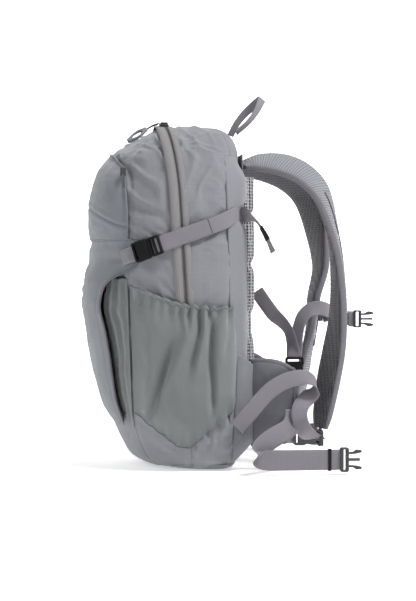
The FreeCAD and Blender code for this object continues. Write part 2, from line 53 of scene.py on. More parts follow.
# ---------------------------------------------------------------- profiles, in millimetres
# X runs from the flap (negative) to the wearer's back, -Y is the bag's left side, Z is up.
# The bag: height, X of its front, X of its back, half its width
BAG = [
    (0.0, -52.0, 34.0, 88.0), (4.0, -72.0, 42.0, 102.0), (14.0, -88.0, 45.0, 112.0),
    (32.0, -99.0, 46.0, 118.0), (60.0, -112.0, 46.5, 122.0), (96.0, -125.0, 47.0, 125.0),
    (131.0, -132.0, 47.5, 127.0), (169.0, -135.0, 48.0, 128.0), (210.0, -136.0, 48.0, 128.0),
    (250.0, -136.5, 48.0, 127.0), (287.0, -137.5, 48.0, 125.0), (315.0, -138.0, 48.0, 122.0),
    (332.0, -137.5, 48.0, 119.0), (352.0, -134.0, 48.0, 114.0), (373.0, -125.5, 48.0, 106.0),
    (396.0, -111.0, 48.0, 93.0), (410.0, -92.0, 45.0, 81.0), (421.0, -74.0, 39.0, 66.0),
    (428.0, -62.0, 31.0, 48.0), (432.0, -54.0, 22.0, 28.0), (433.4, -49.0, 12.0, 14.0),
]
# Height and X of the zip line, of the front seam and of the stash flap's middle
ZIP = [(0.0, -20.0), (196.0, -28.0), (303.0, -34.0), (351.0, -36.3), (384.0, -39.0), (420.0, -43.0), (434.0, -44.0)]
SEAM = [(0.0, -48.0), (14.0, -70.0), (32.0, -80.0), (60.0, -88.0), (130.0, -93.0), (280.0, -97.0), (310.0, -97.0),
        (358.0, -99.0), (384.0, -98.0), (396.0, -90.0), (410.0, -76.0), (421.0, -64.0), (434.0, -50.0)]
FLAP_FRONT = [(54.0, -108.0), (73.0, -119.5), (96.0, -128.5), (131.0, -138.0), (169.0, -145.5), (204.0, -150.5),
              (244.0, -148.0), (270.0, -143.0), (287.0, -140.5)]
# The stash flap's side edge: height, X, half width
FLAP_EDGE = [(54.0, -99.5, 48.0), (88.0, -111.0, 58.0), (141.0, -119.0, 64.0), (173.0, -125.0, 67.0),
             (204.0, -131.5, 68.0), (214.0, -131.0, 70.0), (230.0, -126.0, 75.0), (240.0, -117.0, 82.0),
             (250.0, -104.0, 92.0), (258.0, -90.0, 101.0), (270.0, -92.0, 101.0), (287.0, -96.0, 97.0)]
# The surface is counted in columns round half the bag: 0 back centre, 8 zip, 11 seam, 17 front centre.
# How far each column lies between the back and the zip, and between the seam and the front
BACK_F = [0.0, 0.0012, 0.007, 0.03, 0.09, 0.2, 0.4, 0.7, 1.0]
FRONT_F = [0.0, 0.22, 0.45, 0.68, 0.86, 0.965, 1.0]
ZIP_C, SEAM_C, LAST = 8.0, 11.0, 17
TOP_Z = 433.4
LID_Z = 287.0
MIDDLE = np.array([-40.0, 0, 210.0])
LID_SHIFT = np.array([-1.6, 0, 0])
# The side pocket's rim and foot: column and height
POCKET_RIM = [(4.6, 202.0), (5.0, 202.0), (6.0, 203.0), (7.0, 204.0), (8.0, 206.0), (9.0, 213.0), (10.0, 222.0),
              (10.9, 230.0)]
POCKET_FOOT = [(4.6, 82.0), (5.0, 79.0), (5.6, 73.0), (6.4, 60.0), (7.0, 49.0), (7.6, 38.0), (8.2, 30.0), (8.7, 31.0),
               (9.4, 42.0), (10.2, 57.0), (10.9, 72.0)]
# A shoulder strap's centre line, its roll in degrees and its width
STRAP_PATH = [
    (52.5, -44.0, 381.0), (68.0, -44.6, 386.0), (90.0, -49.5, 386.0), (110.0, -57.0, 381.0), (128.0, -63.0, 371.0),
    (143.0, -69.0, 355.0), (153.0, -74.0, 334.0), (160.0, -79.0, 303.0), (165.5, -83.0, 266.0), (168.0, -86.0, 223.0),
    (166.5, -89.0, 185.0), (161.5, -91.0, 148.0), (154.0, -92.0, 108.0), (147.5, -92.0, 70.0), (144.5, -92.0, 51.0),
]
STRAP_ROLL = [4, 16, 24, 28, 30, 30, 24, 15, 6, 0, -6, -14, -20, -22, -20]
STRAP_W = [52, 56, 60, 62, 62, 62, 62, 62, 62, 60, 58, 54, 46, 36, 30]


def smooth(table, z, col=1):
    # Cubic interpolation with slopes that don't overshoot
    xs = [r[0] for r in table]
    ys = [r[col] for r in table]
    if z <= xs[0]:
        return ys[0]
    if z >= xs[-1]:
        return ys[-1]
    i = 0
    while z > xs[i + 1]:
        i += 1
    d = [(ys[k + 1] - ys[k]) / (xs[k + 1] - xs[k]) for k in range(len(xs) - 1)]

    def slope(k):
        if k == 0:
            return d[0]
        if k == len(xs) - 1:
            return d[-1]
        a, b = d[k - 1], d[k]
        return 0.0 if a * b <= 0 else 2 * a * b / (a + b)

    h = xs[i + 1] - xs[i]
    t = (z - xs[i]) / h
    return (ys[i] * (1 + 2 * t) * (1 - t) ** 2 + h * slope(i) * t * (1 - t) ** 2
            + ys[i + 1] * t * t * (3 - 2 * t) - h * slope(i + 1) * t * t * (1 - t))


def lerp(table, x, col=1):
    return float(np.interp(x, [r[0] for r in table], [r[col] for r in table]))


def step(a, b, x):
    t = min(1.0, max(0.0, (x - a) / (b - a)))
    return t * t * (3 - 2 * t)


def bump(x, centre, width):
    return math.exp(-((x - centre) / width) ** 2)


def width_at(u):
    if u < 0.25:
        return max(0.0, 1 - (1 - u / 0.25) ** 2.6) ** (1 / 2.6)
    return math.sqrt(max(0.0, 1 - ((u - 0.25) / 0.75) ** 2.1))


PROFILE_CACHE = {}


def profile(z):
    key = round(z, 3)
    if key not in PROFILE_CACHE:
        xf, xb, hw = (smooth(BAG, z, col) for col in (1, 2, 3))
        depth = xb - xf
        uz = (xb - smooth(ZIP, z)) / depth
        us = min(max((xb - smooth(SEAM, z)) / depth, uz + 0.05), 0.95)
        uz = min(uz, 0.93)
        shares = [f * uz for f in BACK_F]
        shares += [uz + (us - uz) * t for t in (1 / 3, 2 / 3, 1.0)]
        shares += [us + (1 - us) * f for f in FRONT_F[1:]]
        PROFILE_CACHE[key] = (xf, xb, hw, depth, shares)
    return PROFILE_CACHE[key]


def bag(c, z, side=-1):
    # Point of the bag's surface at column c and height z
    xf, xb, hw, depth, shares = profile(z)
    if c > LAST:
        c = 2 * LAST - c
        side = -side
    if c < 0:
        c = -c
        side = -side
    u = float(np.interp(c, range(LAST + 1), shares))
    return np.array([xb - depth * u, side * hw * width_at(u), z])


def unit(v):
    v = np.asarray(v, float)
    n = np.linalg.norm(v)
    return v / n if n > 1e-12 else v


def bag_normal(c, z, side=-1):
    e = 0.15
    du = bag(min(c + e, LAST), z, side) - bag(max(c - e, 0), z, side)
    dv = bag(c, min(z + 2, 433.3), side) - bag(c, max(z - 2, 0.1), side)
    n = unit(np.cross(du, dv))
    if n @ (bag(c, z, side) - MIDDLE) < 0:
        n = -n
    return n


def on_bag(c, z, off, side=-1):
    return bag(c, z, side) + bag_normal(c, z, side) * off


def near_col(c):
    # The same column on the near half of the bag
    return c if 0 <= c <= LAST else (2 * LAST - c if c > LAST else -c)


def tangent(p, i):
    return unit(p[min(i + 1, len(p) - 1)][:3] - p[max(i - 1, 0)][:3])


def squared(v, power):
    # Signed power, which squares off a circle's sine or cosine
    return math.copysign(abs(v) ** power, v)


def fbm(p, scale, seed=0.0, octaves=3):
    q = Vector((p[0] * scale + seed, p[1] * scale + seed * 1.7, p[2] * scale - seed))
    return noise.fractal(q, 0.8, 2.1, octaves, noise_basis='PERLIN_ORIGINAL')


def creases(p, degrees, scale, seed):
    # Long folds in slack cloth: sharp ridges, drawn out along one direction of the side view
    c, s = math.cos(math.radians(degrees)), math.sin(math.radians(degrees))
    a, b = p[0] * c + p[2] * s, -p[0] * s + p[2] * c
    b += 9.0 * fbm((a, b, p[1]), 0.016, seed, 2)
    v = noise.noise(Vector((a * scale * 0.28 + seed, b * scale, p[1] * scale * 0.25 - seed)))
    w = noise.noise(Vector((a * 0.012 - seed, b * 0.012, seed)))
    return (0.5 - min(1.0, abs(v) * 2.6)) * step(-0.25, 0.35, w)


def spline(points, n):
    # Catmull-Rom through the points, n samples by arc length; works on any columns
    p = np.array(points, float)
    ext = np.vstack([2 * p[0] - p[1], p, 2 * p[-1] - p[-2]])
    out = []
    for i in range(1, len(ext) - 2):
        for t in np.linspace(0, 1, 24, endpoint=False):
            a, b, c, d = ext[i - 1], ext[i], ext[i + 1], ext[i + 2]
            out.append(0.5 * ((2 * b) + (c - a) * t + (2 * a - 5 * b + 4 * c - d) * t * t
                              + (3 * b - a - 3 * c + d) * t ** 3))
    out.append(p[-1])
    out = np.array(out)
    seg = np.linalg.norm(np.diff(out[:, :3], axis=0), axis=1)
    s = np.concatenate([[0], np.cumsum(seg)])
    want = np.linspace(0, s[-1], n)
    return np.stack([np.interp(want, s, out[:, k]) for k in range(out.shape[1])], axis=1), s[-1]


# ---------------------------------------------------------------- mesh helpers
def make(name, verts, faces, mats, body, uv=None, face_mats=None, replaces=(), smooth_it=True):
    mesh = bpy.data.meshes.new(name)
    mesh.from_pydata([tuple(float(x) * MM for x in v) for v in verts], [], faces)
    mesh.validate()
    for m in (mats if isinstance(mats, (list, tuple)) else [mats]):
        mesh.materials.append(m)
    if uv is not None:
        layer = mesh.uv_layers.new(name="UVMap")
        for loop in mesh.loops:
            layer.data[loop.index].uv = uv[loop.vertex_index]
    for poly in mesh.polygons:
        poly.use_smooth = smooth_it
    if face_mats is not None:
        for poly, k in zip(mesh.polygons, face_mats):
            poly.material_index = k
    obj = bpy.data.objects.new(name, mesh)
    bpy.context.scene.collection.objects.link(obj)
    if replaces:
        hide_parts(*replaces)
    if body:
        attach(obj, body)
    return obj


def mirrored(verts, faces):
    v = np.array(verts, float)
    v[:, 1] *= -1
    return v, [tuple(reversed(f)) for f in faces]


def grid_faces(rows, cols, start=0, closed=False):
    faces = []
    for i in range(rows - 1):
        for j in range(cols if closed else cols - 1):
            k = (j + 1) % cols
            faces.append((start + i * cols + j, start + i * cols + k, start + (i + 1) * cols + k,
                          start + (i + 1) * cols + j))
    return faces


def tube_faces(rows, sides):
    # A tube's faces, with a cap on each end
    last = (rows - 1) * sides
    return grid_faces(rows, sides, closed=True) + [tuple(reversed(range(sides))), tuple(range(last, last + sides))]


def two_sided(rows, sides, sign=1.0):
    # Material numbers of a tube's faces: 0 on the outer face and the caps, 1 on the inner face
    ring = [0 if sign * math.sin(2 * math.pi * (k + 0.5) / sides) > 0 else 1 for k in range(sides)]
    return ring * (rows - 1) + [0, 0]


def uv_of(verts, a, b):
    # Cloth coordinates in metres from two of the axes
    return [(v[a] * MM, v[b] * MM) for v in verts]


def uv_line(verts, axis):
    return [(0.0, v[axis] * MM) for v in verts]


def grid_normals(g):
    du = np.gradient(g, axis=1)
    dv = np.gradient(g, axis=0)
    n = np.cross(du, dv)
    length = np.linalg.norm(n, axis=2, keepdims=True)
    n = n / np.maximum(length, 1e-9)
    inward = np.sum(n * (g - MIDDLE), axis=2) < 0
    n[inward] *= -1
    return n


def wall(g, normals, thick):
    # Closed wall: outer grid, inner grid and rim
    rows, cols = g.shape[:2]
    inner = g - normals * thick
    verts = np.concatenate([g.reshape(-1, 3), inner.reshape(-1, 3)])
    faces = grid_faces(rows, cols)
    off = rows * cols
    faces += [tuple(off + v for v in reversed(f)) for f in grid_faces(rows, cols)]
    edge = list(range(cols)) + [i * cols + cols - 1 for i in range(1, rows)]
    edge += [(rows - 1) * cols + j for j in range(cols - 2, -1, -1)] + [i * cols for i in range(rows - 2, 0, -1)]
    for a, b in zip(edge, edge[1:] + edge[:1]):
        faces.append((b, a, off + a, off + b))
    i, j = rows // 2, cols // 2
    facing = np.cross(g[i, min(j + 1, cols - 1)] - g[i, j - 1], g[min(i + 1, rows - 1), j] - g[i - 1, j])
    if facing @ normals[i, j] < 0:
        faces = [tuple(reversed(f)) for f in faces]
    return verts, faces


def grid_uv(g):
    # Cloth coordinates in metres along the rows and columns
    rows, cols = g.shape[:2]
    du = np.linalg.norm(np.diff(g, axis=1), axis=2).mean(axis=0)
    dv = np.linalg.norm(np.diff(g, axis=0), axis=2).mean(axis=1)
    u = np.concatenate([[0], np.cumsum(du)]) * MM
    v = np.concatenate([[0], np.cumsum(dv)]) * MM
    uv = np.stack(np.meshgrid(u, v), axis=2).reshape(-1, 2)
    return np.concatenate([uv, uv])


def cloth(name, g, mat, body, thick=1.0, replaces=()):
    verts, faces = wall(g, grid_normals(g), thick)
    return make(name, verts, faces, mat, body, uv=grid_uv(g), replaces=replaces)


def tube(points, radius, sides=10, flat=1.0, up=None):
    p = np.array(points, float)
    verts = []
    last = None
    for i in range(len(p)):
        t = tangent(p, i)
        ref = np.array(up if up is not None else (0.0, 0, 1.0))
        if last is not None and up is None:
            ref = last
        if abs(ref @ t) > 0.98:
            ref = X_DIR
        a = unit(ref - t * (ref @ t))
        last = a
        b = np.cross(t, a)
        r = radius[i] if hasattr(radius, "__len__") else radius
        for k in range(sides):
            w = 2 * math.pi * k / sides
            verts.append(p[i] + a * math.cos(w) * r * flat + b * math.sin(w) * r)
    return np.array(verts), tube_faces(len(p), sides)


def join(parts):
    verts, faces = [], []
    off = 0
    for v, f in parts:
        verts.append(np.array(v))
        faces += [tuple(off + i for i in q) for q in f]
        off += len(v)
    return np.concatenate(verts), faces


def dashes(points, normals, pitch=3.2, length=2.1, r=0.32):
    # Thread stitches along a line
    line = np.hstack([points, normals])
    p, _ = spline(line, max(4, int(2 * spline(line, 8)[1] / pitch)))
    parts = []
    for i in range(0, len(p) - 1, 2):
        a, n = p[i, :3], unit(p[i, 3:])
        t = unit(p[i + 1, :3] - a)
        b = np.cross(n, t)
        h = t * length / 2
        m = a + t * length / 2
        verts = [m - h + n * 0.05, m - h * 0.6 + b * r + n * r * 0.7, m - h * 0.6 - b * r + n * r * 0.7,
                 m + n * r * 1.8, m + h * 0.6 + b * r + n * r * 0.7, m + h * 0.6 - b * r + n * r * 0.7,
                 m + h + n * 0.05]
        faces = [(0, 1, 3), (0, 3, 2), (1, 4, 3), (3, 5, 2), (4, 6, 3), (3, 6, 5)]
        parts.append((verts, faces))
    return join(parts)


def strap(path, width, thick, across, n, steps=5):
    # Webbing along a path: returns its vertices, faces, uv, and the frames (place, along, across, out, width,
    # thickness) at its samples
    cols = [np.array(path, float), np.array(across, float)]
    w = np.array(width, float) if hasattr(width, "__len__") else np.full(len(path), float(width))
    h = np.array(thick, float) if hasattr(thick, "__len__") else np.full(len(path), float(thick))
    p, total = spline(np.hstack(cols + [w[:, None], h[:, None]]), n)
    verts, uv, frames = [], [], []
    ring = [(k / steps, 1) for k in range(-steps, steps + 1)] + [(k / steps, -1) for k in range(steps, -steps - 1, -1)]
    for i in range(n):
        t = tangent(p, i)
        a = unit(p[i, 3:6] - t * (p[i, 3:6] @ t))
        f = unit(np.cross(t, a))
        frames.append((p[i, :3], t, a, f, p[i, 6], p[i, 7]))
        for x, sgn in ring:
            half = p[i, 7] / 2 * (1 - abs(x) ** 6) ** 0.5
            verts.append(p[i, :3] + a * x * p[i, 6] / 2 + f * sgn * max(half, 0.12 * p[i, 7] / 2))
            uv.append(((x * 0.5 + 0.5) * p[i, 6] * MM, total * i / (n - 1) * MM))
    return np.array(verts), tube_faces(n, len(ring)), uv, frames


def recalc(obj):
    bm = bmesh.new()
    bm.from_mesh(obj.data)
    bmesh.ops.recalc_face_normals(bm, faces=bm.faces)
    bm.to_mesh(obj.data)
    bm.free()


def webbing(name, path, width, thick, across, mat, body, n=60, side=-1, replaces=()):
    verts, faces, uv, frames = strap(path, width, thick, across, n)
    if side > 0:
        verts, faces = mirrored(verts, faces)
    obj = make(name, verts, faces, mat, body, uv=uv, replaces=replaces)
    recalc(obj)
    return obj, frames


# ---------------------------------------------------------------- materials
def material(name):
    m = bpy.data.materials.new(name)
    m.use_nodes = True
    nt = m.node_tree
    nt.nodes.clear()
    out = nt.nodes.new("ShaderNodeOutputMaterial")
    shader = nt.nodes.new("ShaderNodeBsdfPrincipled")
    nt.links.new(shader.outputs[0], out.inputs[0])
    return m, nt, shader


def node(nt, kind, **values):
    n = nt.nodes.new(kind)
    for key, v in values.items():
        if key in n.inputs:
            n.inputs[key].default_value = v
        else:
            setattr(n, key, v)
    return n


def math_node(nt, op, a, b=None, clamp=False):
    n = nt.nodes.new("ShaderNodeMath")
    n.operation = op
    n.use_clamp = clamp
    for k, v in enumerate((a, b)):
        if v is None:
            continue
        if hasattr(v, "links"):
            nt.links.new(v, n.inputs[k])
        else:
            n.inputs[k].default_value = v
    return n.outputs[0]


def mix_colour(nt, fac, a, b):
    n = nt.nodes.new("ShaderNodeMix")
    n.data_type = "RGBA"
    for k, v in ((0, fac), (6, a), (7, b)):
        if hasattr(v, "links"):
            nt.links.new(v, n.inputs[k])
        else:
            n.inputs[k].default_value = v if k == 0 else (*v, 1.0)
    return n.outputs[2]


def noise_at(nt, pos, **values):
    n = node(nt, "ShaderNodeTexNoise", **values)
    nt.links.new(pos, n.inputs["Vector"])
    return n.outputs[0]


def bumped(nt, into, height, strength, distance):
    n = node(nt, "ShaderNodeBump", Strength=strength, Distance=distance)
    nt.links.new(height, n.inputs["Height"])
    nt.links.new(n.outputs[0], into)
    return n


def scaled(nt, tone, factor, low):
    # tone * factor + low
    out = math_node(nt, "MULTIPLY_ADD", tone, factor)
    out.node.inputs[2].default_value = low
    return out


def ribs(nt, along, pitch):
    return math_node(nt, "ABSOLUTE", math_node(nt, "SINE", math_node(nt, "MULTIPLY", along, math.pi / pitch)))


def weave_height(nt, uv_out, pitch):
    # Plain weave from two sets of threads that pass over and under each other
    sep = node(nt, "ShaderNodeSeparateXYZ")
    nt.links.new(uv_out, sep.inputs[0])
    u, v = (math_node(nt, "SINE", math_node(nt, "MULTIPLY", sep.outputs[k], math.pi / pitch)) for k in (0, 1))
    side = math_node(nt, "GREATER_THAN", math_node(nt, "MULTIPLY", u, v), 0.0)
    n = node(nt, "ShaderNodeMix", data_type="FLOAT")
    nt.links.new(side, n.inputs[0])
    nt.links.new(math_node(nt, "ABSOLUTE", u), n.inputs[2])
    nt.links.new(math_node(nt, "ABSOLUTE", v), n.inputs[3])
    return n.outputs[0]


RIPSTOP_PITCH = 0.006


def fabric(name, colour, pitch=0.0009, bump_h=0.15, sheen=0.25, rough=0.85, vary=0.10, fine=0.10, soft=0.35,
           ripstop=0.0):
    m, nt, s = material(name)
    uv = node(nt, "ShaderNodeUVMap").outputs[0]
    pos = node(nt, "ShaderNodeTexCoord").outputs["Object"]
    cloud = noise_at(nt, pos, Scale=9.0, Detail=4.0, Roughness=0.6)
    slub = noise_at(nt, pos, Scale=420.0, Detail=3.0, Roughness=0.7)
    dark = tuple(c * (1 - vary) for c in colour)
    light = tuple(min(1.0, c * (1 + vary)) for c in colour)
    base = mix_colour(nt, cloud, dark, light)
    weave = weave_height(nt, uv, pitch)
    speck = scaled(nt, slub, fine * 2, 1.0 - fine)
    # Colour factor: random slub speckle times the weave height, so the threads' low points are painted darker, a
    # painted shade in the weave; the ripstop grid below darkens it further as a woven pattern
    shade = math_node(nt, "MULTIPLY", speck, math_node(nt, "ADD", math_node(nt, "MULTIPLY", weave, 0.18), 0.86))
    if ripstop:
        sep = node(nt, "ShaderNodeSeparateXYZ")
        nt.links.new(uv, sep.inputs[0])
        for k in (0, 1):
            w = math_node(nt, "FRACT", math_node(nt, "MULTIPLY", sep.outputs[k], 1.0 / RIPSTOP_PITCH))
            w = math_node(nt, "MULTIPLY", math_node(nt, "LESS_THAN", w, 0.09), ripstop)
            shade = math_node(nt, "MULTIPLY", shade, math_node(nt, "SUBTRACT", 1.0, w))
    n = node(nt, "ShaderNodeVectorMath", operation="SCALE")
    nt.links.new(base, n.inputs[0])
    nt.links.new(shade, n.inputs["Scale"])
    nt.links.new(n.outputs[0], s.inputs["Base Color"])
    crumple = noise_at(nt, pos, Scale=26.0, Detail=5.0, Roughness=0.55, Distortion=0.6)
    threads = bumped(nt, s.inputs["Normal"], weave, bump_h * 2, 0.0005)
    bumped(nt, threads.inputs["Normal"], crumple, soft, 0.004)
    nt.links.new(scaled(nt, slub, 0.2, rough - 0.1), s.inputs["Roughness"])
    s.inputs["Sheen Weight"].default_value = sheen
    s.inputs["Sheen Roughness"].default_value = 0.45
    s.inputs["Specular IOR Level"].default_value = 0.25
    return m


def ribbed(name, colour, pitch, depth=0.5, cross=0.0, dark=0.55, rough=0.8, sheen=0.2, bump_h=0.6):
    # Webbing and ribbed facing: ribs across the length, with threads along it
    m, nt, s = material(name)
    uv = node(nt, "ShaderNodeUVMap").outputs[0]
    sep = node(nt, "ShaderNodeSeparateXYZ")
    nt.links.new(uv, sep.inputs[0])
    pos = node(nt, "ShaderNodeTexCoord").outputs["Object"]
    height = ribs(nt, sep.outputs[1], pitch)
    if cross:
        height = math_node(nt, "MULTIPLY", height, math_node(nt, "POWER", ribs(nt, sep.outputs[0], cross), 0.6))
    cloud = noise_at(nt, pos, Scale=60.0, Detail=4.0)
    # The colour runs from lo, the cloth times dark, in the rib valleys to the slightly lighter hi on the crests:
    # painted shade in the grooves, varied in random patches by worn
    lo = tuple(c * dark for c in colour)
    hi = tuple(min(1.0, c * 1.08) for c in colour)
    worn = math_node(nt, "ADD", math_node(nt, "MULTIPLY", cloud, 0.5), 0.75)
    tone = math_node(nt, "MULTIPLY", height, worn, clamp=True)
    nt.links.new(mix_colour(nt, tone, lo, hi), s.inputs["Base Color"])
    bumped(nt, s.inputs["Normal"], height, bump_h, 0.0008 * depth * 2)
    nt.links.new(scaled(nt, cloud, 0.25, rough - 0.12), s.inputs["Roughness"])
    s.inputs["Sheen Weight"].default_value = sheen
    s.inputs["Specular IOR Level"].default_value = 0.25
    return m


def mesh_cloth(name, colour, hole, pitch, fill):
    # Spacer mesh: staggered round holes in a knitted face, the holes painted near black as the shade inside the
    # openings
    m, nt, s = material(name)
    pos = node(nt, "ShaderNodeTexCoord").outputs["Object"]
    vor = node(nt, "ShaderNodeTexVoronoi", Scale=1.0 / pitch, Randomness=0.12)
    nt.links.new(pos, vor.inputs["Vector"])
    fac = node(nt, "ShaderNodeMapRange")
    nt.links.new(vor.outputs["Distance"], fac.inputs[0])
    fac.inputs[1].default_value = fill
    fac.inputs[2].default_value = fill + 0.14
    cloud = noise_at(nt, pos, Scale=35.0, Detail=4.0)
    body = mix_colour(nt, cloud, tuple(c * 0.85 for c in colour), tuple(min(1, c * 1.12) for c in colour))
    mixed = node(nt, "ShaderNodeMix", data_type="RGBA")
    nt.links.new(fac.outputs[0], mixed.inputs[0])
    mixed.inputs[6].default_value = (*hole, 1)
    nt.links.new(body, mixed.inputs[7])
    nt.links.new(mixed.outputs[2], s.inputs["Base Color"])
    bumped(nt, s.inputs["Normal"], fac.outputs[0], 0.8, 0.0012)
    nt.links.new(scaled(nt, cloud, 0.15, 0.85 - 0.08), s.inputs["Roughness"])
    s.inputs["Sheen Weight"].default_value = 0.2
    return m


def plastic(name, colour, rough=0.4, metallic=0.0, gloss=0.4):
    # Moulded plastic or painted metal: fine texture, soft scuffs on the edges
    m, nt, s = material(name)
    pos = node(nt, "ShaderNodeTexCoord").outputs["Object"]
    fine = noise_at(nt, pos, Scale=900.0, Detail=2.0)
    scuff = noise_at(nt, pos, Scale=90.0, Detail=6.0, Roughness=0.7)
    geo = node(nt, "ShaderNodeNewGeometry")
    edge = node(nt, "ShaderNodeMapRange")
    nt.links.new(geo.outputs["Pointiness"], edge.inputs[0])
    edge.inputs[1].default_value = 0.52
    edge.inputs[2].default_value = 0.62
    wear = math_node(nt, "MULTIPLY", edge.outputs[0], scuff, clamp=True)
    col = mix_colour(nt, wear, colour, tuple(min(1.0, c * 1.6 + 0.03) for c in colour))
    nt.links.new(col, s.inputs["Base Color"])
    nt.links.new(scaled(nt, scuff, 0.25, rough - 0.1), s.inputs["Roughness"])
    bumped(nt, s.inputs["Normal"], fine, 0.12, 0.0002)
    s.inputs["Metallic"].default_value = metallic
    s.inputs["Specular IOR Level"].default_value = gloss
    return m


MAIN = fabric("main_cloth", (0.235, 0.24, 0.262), sheen=0.35, rough=0.78, ripstop=0.05)
# A darker copy of the main cloth for the stash flap and top pocket: painted shade for the front faces, which turn away
# from the key light
FRONT_SHADED = fabric("front_cloth", (0.205, 0.217, 0.24), sheen=0.35, rough=0.74)
BASE = fabric("base_cloth", (0.18, 0.19, 0.21), pitch=0.0012, rough=0.85)
BACK = fabric("back_cloth", (0.22, 0.222, 0.245), pitch=0.0012)
STRETCH = fabric("stretch_cloth", (0.185, 0.197, 0.2), pitch=0.0007, sheen=0.3, rough=0.9, vary=0.06)
LINING = fabric("lining_cloth", (0.15, 0.155, 0.17))
TAPE = ribbed("zip_tape", (0.29, 0.28, 0.285), 0.0011, cross=0.0009, dark=0.75)
PIPING = ribbed("binding", (0.20, 0.19, 0.215), 0.0014, cross=0.0009, dark=0.7, bump_h=0.35)
THREAD = fabric("thread", (0.10, 0.10, 0.11), fine=0.05, soft=0.0)
WEBBING = ribbed("webbing", (0.228, 0.216, 0.242), 0.0015, cross=0.0012, dark=0.82, bump_h=0.4)
RIBBED = ribbed("strap_facing", (0.245, 0.25, 0.275), 0.0034, depth=1.0, dark=0.66, bump_h=0.6)
MESH_DARK = mesh_cloth("strap_mesh", (0.10, 0.10, 0.11), (0.02, 0.02, 0.024), pitch=0.0031, fill=0.33)
MESH_LIGHT = mesh_cloth("spacer_mesh", (0.36, 0.355, 0.385), (0.012, 0.012, 0.014), pitch=0.0040, fill=0.37)
FOAM_CLOTH = fabric("wing_cloth", (0.165, 0.168, 0.19), sheen=0.3)
BLACK = plastic("black_plastic", (0.003, 0.003, 0.004), rough=0.5, gloss=0.2)
GREY = plastic("grey_plastic", (0.045, 0.045, 0.052), rough=0.42)
PALE = plastic("pull_rubber", (0.22, 0.225, 0.235), rough=0.6)
METAL = plastic("zip_metal", (0.06, 0.06, 0.065), rough=0.35, metallic=0.6)
SHEET = plastic("frame_plastic", (0.03, 0.03, 0.033), rough=0.5)
COIL = ribbed("zip_coil", (0.13, 0.125, 0.13), 0.0011, dark=0.4, rough=0.6)

# Plain CAD parts that stay as they are and only get a material
for cad, mat in (("frame_sheet", SHEET), ("hydration_sleeve", LINING), ("pocket_zip_slider", METAL),
                 ("pocket_zip_pull", METAL)):
    for material_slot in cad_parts[cad].material_slots:
        material_slot.material = mat

# ---------------------------------------------------------------- bag
def seam_groove(d, w=1.3):
    return -0.9 * bump(d, 0, w) + 0.35 * bump(abs(d), 3.4, 2.0)


def shell(cols, zs, side=-1, disp=None, seed=0.0):
    g = np.zeros((len(zs), len(cols), 3))
    for i, z in enumerate(zs):
        for j, c in enumerate(cols):
            g[i, j] = bag(c, z, side)
    n = grid_normals(g)
    out = g.copy()
    for i, z in enumerate(zs):
        for j, c in enumerate(cols):
            o = disp(near_col(c), z, g[i, j], seed) if disp else 0.0
            out[i, j] = g[i, j] + n[i, j] * o
    return out


def soft(p, seed):
    # Slack cloth: broad hollows and finer diagonal creases
    broad = fbm(p, 0.012, 3.1 + seed, 2) * 1.8
    folds = creases(p, -38.0, 0.062, 2.0 + seed) * 4.2 + creases(p, 62.0, 0.055, 8.0 + seed) * 3.2
    fine = creases(p, -15.0, 0.12, 5.0 + seed) * 1.5 + fbm(p, 0.07, 7.7 + seed, 3) * 0.45
    return broad + folds + fine


def side_disp(cc, z, p, seed):
    o = soft(p, seed)
    fade = min(1.0, abs(cc - 8.0) / 0.8, abs(cc - 5.0) / 0.5)
    o *= 0.25 + 0.75 * max(0.0, fade)
    # Pulled in under the compression strap
    line = lerp([(4.0, 319.0), (4.8, 318.0), (6.0, 308.5), (7.4, 296.0), (8.7, 285.0)], cc)
    o -= 3.5 * bump(z, line, 18.0) * step(4.0, 5.5, cc)
    # Gathers below the side pocket
    foot = lerp(POCKET_FOOT, cc)
    if 4.6 < cc < 8.6 and z < foot + 6:
        wave = math.sin(p[0] * 0.42 + fbm(p, 0.03, seed) * 4.0)
        o += 1.6 * wave * step(foot - 45.0, foot, z)
    return o


zs_side = (list(np.arange(3.0, 60.0, 2.5)) + list(np.arange(60.0, 396.0, 3.0))
           + list(np.arange(396.0, TOP_Z, 1.3)) + [TOP_Z])
for side, tag in SIDES:
    g = shell(np.linspace(4.9, ZIP_C, 60), zs_side, side=side, disp=side_disp, seed=0.0 if side < 0 else 5.0)
    cloth("side_cloth_" + tag, g, MAIN, "pack", 1.4, replaces=["side_panel_" + tag])

g = shell(np.linspace(-5.05, 5.05, 90), zs_side[::2])
cloth("back_cloth", g, BACK, "pack", 1.4, replaces=["back_panel"])


def low_disp(cc, z, p, seed):
    o = soft(p, seed) * 0.7 * step(8.0, 8.8, cc)
    o += seam_groove((cc - SEAM_C) * 18.0)
    hem = 62.0 - 10.0 * (cc - SEAM_C) if cc > SEAM_C else 62.0 - 12.0 * (SEAM_C - cc)
    o += -0.9 * bump(z, hem, 1.8)
    near = min(1.0, max(0.0, (62.0 - abs(p[1])) / 30.0))
    up = min(1.0, max(0.0, (z - 70.0) / 50.0))
    if cc < 8.6:
        foot = lerp(POCKET_FOOT, cc)
        if z < foot + 4:
            o += 1.2 * math.sin(p[0] * 0.42) * step(foot - 30.0, foot, z)
    o -= 9.0 * step(11.15, 12.3, cc) * step(54.0, 72.0, z) * (1 - step(238.0, 246.0, z))
    return o - 6.5 * near * up


zs_low = list(np.arange(3.0, LID_Z, 2.6)) + [LID_Z]
g = shell(np.linspace(ZIP_C, 2 * LAST - ZIP_C, 200), zs_low, disp=low_disp)
cloth("lower_front_cloth", g, MAIN, "pack", 1.4, replaces=["lower_front_panel"])

